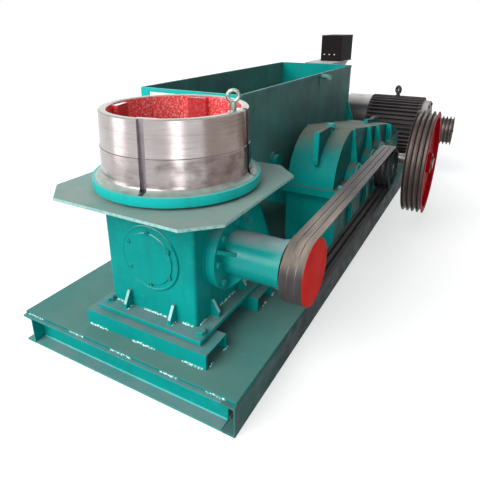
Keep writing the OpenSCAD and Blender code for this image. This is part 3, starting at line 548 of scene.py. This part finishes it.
# Smooth enough to carry a soft streak of light, with grey dust on its crown
teal_tube = machine_enamel("glossy teal enamel on turned tube", "08A29E", "08968F", "B2B9C0", 0.95, 0.15,
                           0.20, dust_from=0.72, gloss=0.3)
# Walked on: matt, and grey-green in broad patches
teal_deck = machine_enamel("trodden teal enamel on plate", "1C8885", "1A7D7A", "6C8D87", 0.9, 0.3, 0.45,
                           dust_patch=420)
# Chalky from drawing soap, with a pale painted highlight on its edges
teal_wet = machine_enamel("soap-stained teal enamel", "70A49E", "649892", "97A6A0", 0.95, 0.4, 0.38,
                          edge_highlight="A9D4CE")
# Greyed and streaked by years of wet work
teal_old = machine_enamel("weathered teal enamel", "5C928C", "587876", "6F8986", 0.6, 0.3, 0.40)
# Brown dust and an oil film on top, clear teal on the front, dark on the belt side from belt soot and
# painted shade
teal_roof = machine_enamel("dusty teal enamel", "0BA6A2", "0C918C", "786C60", 0.95, 0.3, 0.30, 0.68,
                           film=0.45, dust_from=0.62, gloss=0.03)
# Almost black with belt dust and painted shade of the side turned from the light, the teal only showing
# through
teal_sooty_shaded = machine_enamel("sooty teal enamel", "3B7C78", "2F6663", "5F7C7C", 0.75, 0.35, 0.40, 0.93)
teal_bead = bead_finish()
# Painted pale glints on the slopes of the gussets
teal_painted_glint = machine_enamel("teal enamel painted pale as glints", "B4DAD6", "8FC6C0", "CFE6E2", gloss=0.3)
drum_steel = drum_finish()
greasy_steel = slot_finish()
# Clear bright red on the face, brown iron in the grooves
front_red = pulley_finish("red enamel on cast iron", "front_pulley", 22, "FF1E10", "EE180C",
                          ("8A8482", "625C5A", "45403E"))
# Deeper red and darker iron
big_red = pulley_finish("deep red enamel on cast iron", "input_pulley", 23, "C41620", "A81018",
                        ("6E6260", "584E4C", "3A3433"))
# Dark teal, dull beside the red ones
dark_iron = pulley_finish("dark enamel on cast iron", "output_pulley", 22, "3C686C", "2E5254",
                          ("6C6A6A", "4A4848", "303030"))
# Unpainted: plain grey with brown grooves
grey_iron = pulley_finish("bare cast iron", "motor_pulley", 22, "6A6A6C", "525254",
                          ("7C7270", "5C5250", "3A3432"))
belt = belt_rubber()
# Brown-grey and soft in its shine
shaft_steel = plain_steel("oiled shaft steel", "7E7C7A", "55534F", 0.9, 0.36)
# Mottled pale grey-green
galvanised = plain_steel("galvanised forged steel", "AFC2BA", "839890", 0.9, 0.30, 9)
# Bright and nearly white
zinc = plain_steel("zinc plated steel", "E6E8E8", "BFC3C4", 1.0, 0.22, 12)
# Near black, with a faint glint
black_oxide = plain_steel("oiled black bolt steel", "4A4646", "2C2A2A", 0.8, 0.4, 8)
# Warm dark grey, dusted on the crests of its fins
motor_grey = sprayed_enamel("dark grey motor enamel", "484244", "3A3437", "8F8A8C", 0.5, 0.5, 0.66, 0.15,
                            -0.3)
# Dark, with a pale band along its crown: dust and a painted sheen
cover_grey = sprayed_enamel("dark grey sheet enamel with painted sheen", "3C383A", "322F31", "FFF8F4", 1.0, 0.36, 0.72, 0.45,
                            -0.8)
# Pale grey, grainy from the casting
shield_grey = sprayed_enamel("pale grey casting enamel", "8E8684", "726C6A", "C6C3C1", 0.6)
# Matt black that takes hardly any light
box_black = sprayed_enamel("black crinkle powder coat", "221D1F", "1A1617", "3A3435", 0.5, 0.6, 0.25, 0.06)
# Light grey with a dull sheen
shelf_grey = sprayed_enamel("bare grey sheet steel", "B9B6B4", "9A9896", "CFCBC8", 0.6, 0.4)
white_plate = white_sheet()

FINISH = {
    teal: ("base_left_channel base_front_channel base_rear_channel base_cross_channels plinth_channels "
           "housing_foot drum_housing tube_flange bearing_covers breather_plug motor_rails "
           "shaft_gland tank_rear_wall tank_legs"),
    teal_tube: "bearing_tube",
    teal_lit: "drum_flange tank_front_wall",
    teal_cover: "housing_cover",
    teal_sooty_shaded: "base_right_channel",
    teal_deck: "deck_plate",
    teal_wet: "drip_plate",
    teal_old: "tank_left_wall tank_right_wall tank_floor",
    teal_roof: "gear_case gear_hood",
    drum_steel: "drum",
    front_red: "front_pulley",
    big_red: "input_pulley",
    dark_iron: "output_pulley",
    grey_iron: "motor_pulley",
    belt: "drive_belts",
    shaft_steel: "front_shaft output_shaft input_shaft motor_shaft",
    galvanised: "drum_eyebolt",
    motor_grey: "motor_body",
    cover_grey: "motor_fan_cover",
    shield_grey: "motor_shield",
    box_black: "control_box",
    shelf_grey: "box_shelf",
}


def paint_nodes():
    for material, names in FINISH.items():
        for name in names.split():
            piece = nodes[name]
            piece.data.materials.clear()
            piece.data.materials.append(material)


# Rounded edges that catch the light, by piece: radius in millimetres

ROUND_EDGES = {
    2.0: ("base_left_channel base_right_channel base_front_channel base_rear_channel deck_plate "
          "plinth_channels drip_plate tank_front_wall tank_rear_wall tank_left_wall tank_legs"),
    3.0: "housing_foot gear_case gear_hood tube_flange",
    1.5: "control_box box_shelf housing_cover bearing_covers motor_rails shaft_gland drum_flange",
}


def round_edges():
    for radius, names in ROUND_EDGES.items():
        for name in names.split():
            piece = nodes[name]
            weld = piece.modifiers.new("join_corners", "WELD")
            weld.merge_threshold = 0.02 * MM
            edge = piece.modifiers.new("broken_edge", "BEVEL")
            edge.width = radius * MM
            edge.segments = 2
            edge.limit_method = "ANGLE"
            edge.angle_limit = math.radians(50)
            edge.use_clamp_overlap = True
            edge.harden_normals = False


def fuller_drum_eye():
    """The drum's forged eye is a little fuller than its plain ring."""
    fuller = nodes["drum_eyebolt"].modifiers.new("forged_fullness", "DISPLACE")
    fuller.strength = 1.4 * MM
    fuller.mid_level = 0.0


# How small pieces are made

BEAD_STEP = 6.5 * MM
BEAD_ARC = 7


def finish_piece(name, mesh_data, material, body="frame", smooth_angle=35):
    """Makes an object of a bmesh, paints it, and lets it ride on a body."""
    mesh = bpy.data.meshes.new(name)
    bmesh.ops.recalc_face_normals(mesh_data, faces=mesh_data.faces)
    for face in mesh_data.faces:
        face.smooth = True
    for edge in mesh_data.edges:
        edge.smooth = len(edge.link_faces) == 2 and edge.calc_face_angle(0) < math.radians(smooth_angle)
    mesh_data.to_mesh(mesh)
    mesh_data.free()
    mesh.materials.append(material)
    piece = bpy.data.objects.new(name, mesh)
    bpy.context.collection.objects.link(piece)
    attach(piece, body)
    return piece


def aim(place, direction, turn=0.0):
    """Matrix that puts +Z along direction at place."""
    towards = Vector(direction).to_track_quat("Z", "Y").to_matrix().to_4x4()
    return Matrix.Translation(Vector(place)) @ towards @ Matrix.Rotation(turn, 4, "Z")


def skin(data, loops):
    """Closes a body round a row of loops, with a cap at each end."""
    count = len(loops[0])
    for low, high in zip(loops, loops[1:]):
        for k in range(count):
            data.faces.new((low[k], low[(k + 1) % count], high[(k + 1) % count], high[k]))
    data.faces.new(list(reversed(loops[0])))
    data.faces.new(loops[-1])


def add_rings(data, matrix, rings, sides):
    """Adds a closed body of rings (radius, height), capped at both ends."""
    loops = []
    for radius, height in rings:
        loop = []
        for k in range(sides):
            angle = 2 * math.pi * k / sides
            spot = Vector((radius * math.cos(angle), radius * math.sin(angle), height))
            loop.append(data.verts.new(matrix @ spot))
        loops.append(loop)
    skin(data, loops)


def add_torus(data, matrix, ring_r, bar_r, sides=64, bar_sides=10):
    """Adds a round bar bent to a ring."""
    loops = []
    for k in range(sides):
        angle = 2 * math.pi * k / sides
        out = Vector((math.cos(angle), math.sin(angle), 0))
        loop = []
        for j in range(bar_sides):
            round_bar = 2 * math.pi * j / bar_sides
            spot = out * (ring_r + bar_r * math.cos(round_bar)) + UP * bar_r * math.sin(round_bar)
            loop.append(data.verts.new(matrix @ spot))
        loops.append(loop)
    for k in range(sides):
        here = loops[k]
        after = loops[(k + 1) % sides]
        for j in range(bar_sides):
            data.faces.new((here[j], after[j], after[(j + 1) % bar_sides], here[(j + 1) % bar_sides]))


def add_slab(data, corners, thickness):
    """Adds a slab: four corners (a low, a high, b low, b high), thickened by a vector."""
    inner = [data.verts.new(corners[i]) for i in (0, 1, 3, 2)]
    outer = [data.verts.new(corners[i] + thickness) for i in (0, 1, 3, 2)]
    data.faces.new(inner)
    data.faces.new(list(reversed(outer)))
    for k in range(4):
        data.faces.new((inner[k], outer[k], outer[(k + 1) % 4], inner[(k + 1) % 4]))


def add_hex_bolt(data, place, direction, size_mm, turn, washer=True):
    """Hexagon head with a chamfered crown, on a washer. size_mm is the thread."""
    size = size_mm * MM
    matrix = aim(place, direction, turn)
    start = 0.0
    if washer:
        start = 0.18 * size
        add_rings(data, matrix, [(size, -0.2 * MM), (1.06 * size, 0.4 * MM), (1.06 * size, start - 0.3 * MM),
                                 (size, start)], 24)
    head = 0.65 * size
    across = 0.866 * size
    add_rings(data, matrix, [(size, start - 0.1 * MM), (size, start + 0.8 * head),
                             (across, start + head), (0.6 * across, start + head)], 6)


def add_socket_screw(data, place, direction, size_mm):
    """Flat round head with a hexagon socket sunk in it."""
    size = size_mm * MM
    add_rings(data, aim(place, direction), [
        (0.95 * size, -0.2 * MM), (0.95 * size, 0.35 * size), (0.8 * size, 0.5 * size),
        (0.45 * size, 0.5 * size), (0.42 * size, 0.1 * size)], 18)


def ring_of_bolts(data, centre, direction, radius_mm, count, size_mm, turn):
    matrix = aim(centre, direction)
    for k in range(count):
        angle = turn + 2 * math.pi * k / count
        place = matrix @ Vector((radius_mm * MM * math.cos(angle), radius_mm * MM * math.sin(angle), 0))
        add_hex_bolt(data, place, direction, size_mm, 0.2 + 1.3 * k)


def add_weld(data, start, end, normal, width_mm, seed):
    """A hand-laid bead: one rippled half round after another along the joint."""
    rng = random.Random(seed)
    length = (end - start).length
    along = (end - start).normalized()
    up = Vector(normal).normalized()
    side = along.cross(up).normalized()
    count = max(3, int(length / BEAD_STEP))
    loops = []
    for k in range(count + 1):
        swell = 1.0 if k % 2 else 0.62
        radius = 0.5 * width_mm * MM * swell * rng.uniform(0.75, 1.2)
        if k in (0, count):
            radius *= 0.45
        centre = start + along * (length * k / count) + side * rng.uniform(-1.5, 1.5) * MM
        loop = []
        for j in range(BEAD_ARC):
            angle = math.pi * j / (BEAD_ARC - 1)
            spot = centre + side * radius * math.cos(angle) + up * radius * 0.75 * math.sin(angle)
            loop.append(data.verts.new(spot - up * 0.6 * MM))
        loops.append(loop)
    skin(data, loops)


def weld_row(data, beads, start, along, out, width_mm, seed):
    """Beads along one joint: each is a pair of distances in metres along it."""
    for k, (first, last) in enumerate(beads):
        add_weld(data, start + along * first, start + along * last, out, width_mm, seed + k)


# Where small pieces sit, in metres

HOUSE_LOW, HOUSE_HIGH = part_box("drum_housing")
HOUSE_SIDE = HOUSE_HIGH.x - 6 * MM
FOOT_TOP = HOUSE_LOW.z
DECK_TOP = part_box("deck_plate")[1].z
GUSSET_OUT = 107 * MM
JOINT_FLANGE = 20 * MM
CASE_FOOT = 24 * MM
HOOD_BOLT_GAP = 155 * MM
MOTOR_FOOT = 34 * MM
COVER_SCREW_CIRCLE = 105 * MM
CHANNEL_WEB = 6 * MM
CHANNEL_LIP = 9 * MM
LABEL_X = -0.3435
LABEL_Z = 0.9165
LABEL_HALF_WIDE = 79.5 * MM
LABEL_HALF_HIGH = 44.5 * MM
DECK_BEADS = ((0.014, 0.109), (0.256, 0.340), (0.475, 0.583), (0.712, 0.790), (0.905, 0.985))
PLINTH_SIDE_BEADS = ((0.02, 0.05), (0.11, 0.15), (0.44, 0.48), (0.53, 0.56))
HOUSE_BEADS = ((0.018, 0.065), (0.160, 0.280), (0.345, 0.398))


def shaft_lines():
    """Where the three shafts of the gear case cross it, along the machine: output, input, blind."""
    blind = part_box("bearing_covers")[0].y + 92 * MM
    return [middle("output_pulley").y, middle("input_pulley").y, blind]


# Small pieces

def foot_bolts():
    data = bmesh.new()
    low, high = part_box("housing_foot")
    for x in (low.x + 22 * MM, high.x - 24 * MM):
        for y in (low.y + 40 * MM, high.y - 40 * MM):
            add_hex_bolt(data, (x, y, FOOT_TOP), UP, 20, 0.5 + 3 * x)
    finish_piece("foot_bolts", data, teal)


def cover_screws():
    data = bmesh.new()
    centre = middle("housing_cover")
    centre.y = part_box("housing_cover")[0].y
    matrix = aim(centre, FRONT)
    for k in range(6):
        angle = math.radians(30) + k * math.pi / 3
        place = matrix @ (Vector((math.cos(angle), math.sin(angle), 0)) * COVER_SCREW_CIRCLE)
        add_socket_screw(data, place, FRONT, 9)
    finish_piece("cover_screws", data, teal)


def cover_bead():
    """Bead run round the cover where it meets the housing; its top carries the cover's painted highlight."""
    data = bmesh.new()
    low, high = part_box("housing_cover")
    centre = middle("housing_cover")
    centre.y = high.y - 2.5 * MM
    add_torus(data, aim(centre, FRONT), (high.x - low.x) / 2 + 1 * MM, 4.5 * MM, 96)
    finish_piece("cover_bead", data, teal_cover)


def tube_bolts():
    data = bmesh.new()
    centre = middle("tube_flange")
    centre.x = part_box("bearing_tube")[0].x
    ring_of_bolts(data, centre, RIGHT, 126, 8, 14, math.radians(22.5 + 21))
    finish_piece("tube_flange_bolts", data, teal)


def bearing_bolts():
    data = bmesh.new()
    centre = middle("bearing_covers")
    centre.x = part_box("bearing_covers")[1].x
    for y in shaft_lines():
        centre.y = y
        ring_of_bolts(data, centre, RIGHT, 74, 6, 12, 0.5)
    finish_piece("bearing_cover_bolts", data, teal)


def joint_bolts():
    """Bolts that hold the hood down along both sides of the flange, and tall studs by the bearings."""
    data = bmesh.new()
    low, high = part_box("gear_hood")
    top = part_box("gear_case")[1].z + JOINT_FLANGE
    edge = 17 * MM
    lines = shaft_lines()
    for k in range(8):
        y = low.y + 60 * MM + k * HOOD_BOLT_GAP
        add_hex_bolt(data, (low.x + edge, y, top), UP, 14, k)
        if min(abs(y - line) for line in lines) > 115 * MM:
            add_hex_bolt(data, (high.x - edge, y, top), UP, 14, k)
    for y in (lines[0] + 131 * MM, lines[1] + 134 * MM):
        place = Vector((high.x - edge, y, top))
        add_rings(data, aim(place, UP), [(13 * MM, -0.3 * MM), (13 * MM, 24 * MM), (12 * MM, 25 * MM)], 24)
        add_hex_bolt(data, place + UP * 25 * MM, UP, 16, y)
    # The bolts take the lighter teal, as painted highlights on their heads
    finish_piece("hood_bolts", data, teal_lit)


def case_foot_bolts():
    data = bmesh.new()
    low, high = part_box("gear_case")
    for k in range(6):
        y = low.y + 0.12 + k * (high.y - low.y - 0.24) / 5
        for x in (low.x + 38 * MM, high.x - 38 * MM):
            add_hex_bolt(data, (x, y, DECK_TOP + CASE_FOOT), UP, 16, k)
    finish_piece("case_foot_bolts", data, teal)


def motor_bolts():
    data = bmesh.new()
    low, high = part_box("motor_rails")
    body_low, body_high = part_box("motor_body")
    line = middle("motor_rails").y
    for x in (body_low.x + 53 * MM, body_high.x - 53 * MM):
        for s in (-1, 1):
            add_hex_bolt(data, (x, line + s * 182 * MM, high.z + MOTOR_FOOT), UP, 16, x)
    for x in (low.x + 35 * MM, high.x - 35 * MM):
        for y in (low.y + 22 * MM, high.y - 22 * MM):
            add_hex_bolt(data, (x, y, high.z), UP, 14, y)
    finish_piece("motor_foot_bolts", data, black_oxide)


def shield_bolts():
    data = bmesh.new()
    centre = middle("motor_shield")
    centre.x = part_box("motor_shield")[0].x + 50 * MM
    ring_of_bolts(data, centre, RIGHT, 216, 8, 12, 0.39)
    finish_piece("shield_bolts", data, black_oxide)


def welds():
    """Beads where the base, the plinth, the housing foot and the tank are welded."""
    data = bmesh.new()
    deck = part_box("deck_plate")[0]
    plinth, plinth_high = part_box("plinth_channels")
    low_front = FRONT + UP
    low_right = RIGHT + UP
    along = -FRONT
    weld_row(data, DECK_BEADS, deck + Vector((0, 0.5, 3)) * MM, RIGHT, FRONT, 11, 1)
    plinth_beads = ((0.010, 0.110), (0.232, 0.345), (0.466, plinth_high.x - plinth.x - 0.010))
    weld_row(data, plinth_beads, Vector((plinth.x, plinth.y - 1 * MM, DECK_TOP + 2 * MM)),
             RIGHT, low_front, 12, 20)
    weld_row(data, PLINTH_SIDE_BEADS, Vector((plinth_high.x + 1 * MM, plinth.y, DECK_TOP + 2 * MM)),
             along, low_right, 11, 30)
    foot = FOOT_TOP + 1 * MM
    for x, y, joint, out, seed in (
            (HOUSE_LOW.x, HOUSE_LOW.y - 2 * MM, RIGHT, low_front, 40),
            (HOUSE_LOW.x, HOUSE_HIGH.y + 2 * MM, RIGHT, along + UP, 50),
            (HOUSE_SIDE + 2 * MM, HOUSE_LOW.y, along, low_right, 60)):
        weld_row(data, HOUSE_BEADS, Vector((x, y, foot)), joint, out, 13, seed)
    seed = 70
    for s in (-1, 1):
        x = (HOUSE_LOW.x + HOUSE_SIDE) / 2 + s * GUSSET_OUT
        for t in (-1, 1):
            place = Vector((x + t * 9 * MM, HOUSE_LOW.y - 38 * MM, foot))
            add_weld(data, place, place + along * 34 * MM, Vector((t, 0, 1)), 10, seed)
            seed += 1
    floor_low, floor_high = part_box("tank_floor")
    weld_row(data, [(0.14 + 0.34 * k, 0.20 + 0.34 * k) for k in range(5)],
             Vector((floor_high.x + 0.5 * MM, floor_low.y, floor_low.z + 8 * MM)), along, RIGHT, 8, 80)
    finish_piece("weld_beads", data, teal_bead, smooth_angle=80)


def forged_motor_eye():
    """Drop-forged lifting eye, its thick ring turned half across the motor, on a flared collar."""
    data = bmesh.new()
    low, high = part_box("motor_eyebolt")
    foot = middle("motor_eyebolt")
    foot.z = low.z
    collar = [(20 * MM, 0), (20 * MM, 4 * MM), (16 * MM, 8 * MM), (14 * MM, 14 * MM), (15 * MM, 22 * MM),
              (9 * MM, 27 * MM)]
    add_rings(data, aim(foot, UP), collar, 32)
    ring_r = 26 * MM
    bar_r = 13 * MM
    centre = Vector((foot.x, foot.y, high.z - ring_r - bar_r))
    add_torus(data, aim(centre, RIGHT - FRONT), ring_r, bar_r, 64, 20)
    eye = finish_piece("forged_motor_eye", data, motor_grey, smooth_angle=60)
    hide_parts("motor_eyebolt")


def gusset_glints():
    """Slopes of the foot gussets, painted pale as a highlight."""
    data = bmesh.new()
    centre = Vector(((HOUSE_LOW.x + HOUSE_SIDE) / 2, (HOUSE_LOW.y + HOUSE_HIGH.y) / 2, FOOT_TOP))
    for out, reach, side in ((FRONT, centre.y - HOUSE_LOW.y, RIGHT), (RIGHT, HOUSE_SIDE - centre.x, FRONT)):
        for s in (-1, 1):
            base = centre + out * reach + side * s * GUSSET_OUT
            low = base + out * 40 * MM + UP * 20 * MM
            high = base + out * 10 * MM + UP * 72 * MM
            along = (high - low).normalized()
            normal = (out * along.z + UP * -along.dot(out)).normalized()
            foot = low + along * 2 * MM - normal * 0.5 * MM
            head = high - along * 2 * MM - normal * 0.5 * MM
            half = side * 6 * MM
            add_slab(data, [foot + half, head + half, foot - half, head - half], normal * 1.4 * MM)
    finish_piece("gusset_slopes", data, teal_painted_glint)


def channel_root():
    """Rolled root radius along the foot of the front channel's web, in the lighter teal as a painted
    highlight line.
    """
    data = bmesh.new()
    low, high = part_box("base_front_channel")
    place = Vector((low.x + 4 * MM, high.y - CHANNEL_WEB, low.z + CHANNEL_LIP - 1 * MM))
    length = high.x - low.x - 8 * MM
    add_rings(data, aim(place, RIGHT), [
        (5 * MM, 0), (5.5 * MM, 2 * MM), (5.5 * MM, length - 2 * MM), (5 * MM, length)], 16)
    finish_piece("front_channel_root", data, teal_lit)


def label_plate():
    """Bare plate with cut corners, riveted high on the tank's front wall."""
    data = bmesh.new()
    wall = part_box("tank_front_wall")[0].y + 6 * MM
    centre = Vector((LABEL_X, wall - 1.5 * MM, LABEL_Z))
    outline = []
    for s, t in ((-1, -1), (1, -1), (1, 1), (-1, 1)):
        side = Vector((s * LABEL_HALF_WIDE, 0, t * (LABEL_HALF_HIGH - 3 * MM)))
        end = Vector((s * (LABEL_HALF_WIDE - 3 * MM), 0, t * LABEL_HALF_HIGH))
        outline += [side, end] if s == t else [end, side]
    front = [data.verts.new(centre + spot) for spot in outline]
    back = [data.verts.new(centre + spot - FRONT * 1.7 * MM) for spot in outline]
    skin(data, [front, back])
    finish_piece("label_plate", data, white_plate)
    rivets = bmesh.new()
    for s in (-1, 1):
        for t in (-1, 1):
            spot = Vector((s * (LABEL_HALF_WIDE - 8 * MM), 0, t * (LABEL_HALF_HIGH - 8 * MM)))
            add_rings(rivets, aim(centre + spot, FRONT), [
                (3 * MM, -0.1 * MM), (2.6 * MM, 0.9 * MM), (1.4 * MM, 1.5 * MM)], 12)
    finish_piece("label_rivets", rivets, zinc)


def shaft_ends():
    """Retaining washer and screw on the two open shaft ends, and the key of the input shaft."""
    for shaft, body in (("output_shaft", "output_pulley"), ("motor_shaft", "motor_pulley")):
        data = bmesh.new()
        low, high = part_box(shaft)
        centre = middle(shaft)
        centre.x = high.x
        radius = (high.z - low.z) / 2
        add_rings(data, aim(centre, RIGHT), [
            (radius * 0.72, -0.2 * MM), (radius * 0.72, 2.4 * MM), (radius * 0.66, 3 * MM)], 32)
        add_hex_bolt(data, centre + RIGHT * 3 * MM, RIGHT, 9, 0.4, washer=False)
        finish_piece(shaft + "_end_washer", data, black_oxide, body=body)
    data = bmesh.new()
    low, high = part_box("input_shaft")
    seat = middle("input_shaft") + UP * ((high.z - low.z) / 2 - 3 * MM)
    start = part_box("input_pulley")[1].x - 1 * MM
    end = high.x - 1.5 * MM
    corners = [Vector((x, seat.y + s * 7 * MM, seat.z)) for s in (-1, 1) for x in (start, end)]
    add_slab(data, corners, UP * 8 * MM)
    finish_piece("input_shaft_key", data, black_oxide, body="input_pulley")


def box_fittings():
    """Three pilot lights in a row on the box's front."""
    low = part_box("control_box")[0]
    lights = bmesh.new()
    rims = bmesh.new()
    for k in (-1, 0, 1):
        place = low + Vector((72.5 + k * 41, 0, 50)) * MM
        add_rings(rims, aim(place, FRONT), [(8 * MM, -0.2 * MM), (8 * MM, 2 * MM), (6 * MM, 2.5 * MM)], 20)
        add_rings(lights, aim(place + FRONT * 2.3 * MM, FRONT), [
            (4.6 * MM, 0), (4.6 * MM, 3 * MM), (3.6 * MM, 5 * MM), (1.8 * MM, 5.8 * MM)], 20)
    finish_piece("pilot_light_rims", rims, black_oxide)
    finish_piece("pilot_lights", lights, white_plate)


def slot_linings():
    """Dark greasy lining in each slot of the drum."""
    data = bmesh.new()
    low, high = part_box("drum")
    centre = middle("drum")
    ends = [Vector((centre.x, centre.y, z)) for z in (low.z + 5.4 * MM, high.z - 0.2 * MM)]
    for k in range(4):
        angle = math.radians(SLOT_TURN + 90 * k)
        out = Vector((math.cos(angle), math.sin(angle), 0))
        side = Vector((-out.y, out.x, 0))
        half = side * 12.3 * MM
        for s in (-1, 1):
            wall = [end + out * r + half * s for r in (SLOT_FLOOR, SLOT_MOUTH) for end in ends]
            add_slab(data, wall, side * s * 0.15 * MM)
        floor = [end + out * SLOT_FLOOR + half * s for s in (-1, 1) for end in ends]
        add_slab(data, floor, out * 0.3 * MM)
    finish_piece("slot_linings", data, greasy_steel, body="drum")


def fan_grille():
    """Air inlet at the motor's rear end: wire rings and spokes over a black disc that is painted shade for
    the opening.
    """
    low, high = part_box("motor_fan_cover")
    centre = middle("motor_fan_cover")
    centre.x = low.x
    matrix = aim(centre, -RIGHT)
    outer = (high.z - low.z) / 2 - 62 * MM
    # Black disc as painted shade in the opening
    dark = bmesh.new()
    add_rings(dark, matrix, [(outer, -0.3 * MM), (outer, 0.4 * MM), (outer - 1 * MM, 0.8 * MM)], 64)
    finish_piece("fan_inlet_shade", dark, box_black)
    wires = bmesh.new()
    lifted = matrix @ Matrix.Translation((0, 0, 4 * MM))
    count = 7
    for k in range(count):
        add_torus(wires, lifted, outer * (k + 1.5) / (count + 0.5), 2.2 * MM)
    for k in range(4):
        turn = matrix @ Matrix.Rotation(math.radians(45 + 90 * k), 4, "Z")
        place = turn @ Vector((outer * 0.10, 0, 3 * MM))
        spoke = turn.to_3x3() @ Vector((1, 0, 0))
        add_rings(wires, aim(place, spoke), [(2.4 * MM, 0), (2.4 * MM, outer * 0.92)], 10)
    hub = [(outer * 0.12, -0.2 * MM), (outer * 0.12, 4 * MM), (outer * 0.09, 6 * MM)]
    add_rings(wires, matrix, hub, 32)
    finish_piece("fan_grille", wires, cover_grey)


make_camera()
make_room()
paint_nodes()
round_edges()
fuller_drum_eye()
foot_bolts()
cover_screws()
cover_bead()
tube_bolts()
bearing_bolts()
joint_bolts()
case_foot_bolts()
motor_bolts()
shield_bolts()
welds()
forged_motor_eye()
gusset_glints()
channel_root()
label_plate()
shaft_ends()
box_fittings()
slot_linings()
fan_grille()

bpy.context.scene.view_settings.view_transform = "Standard"
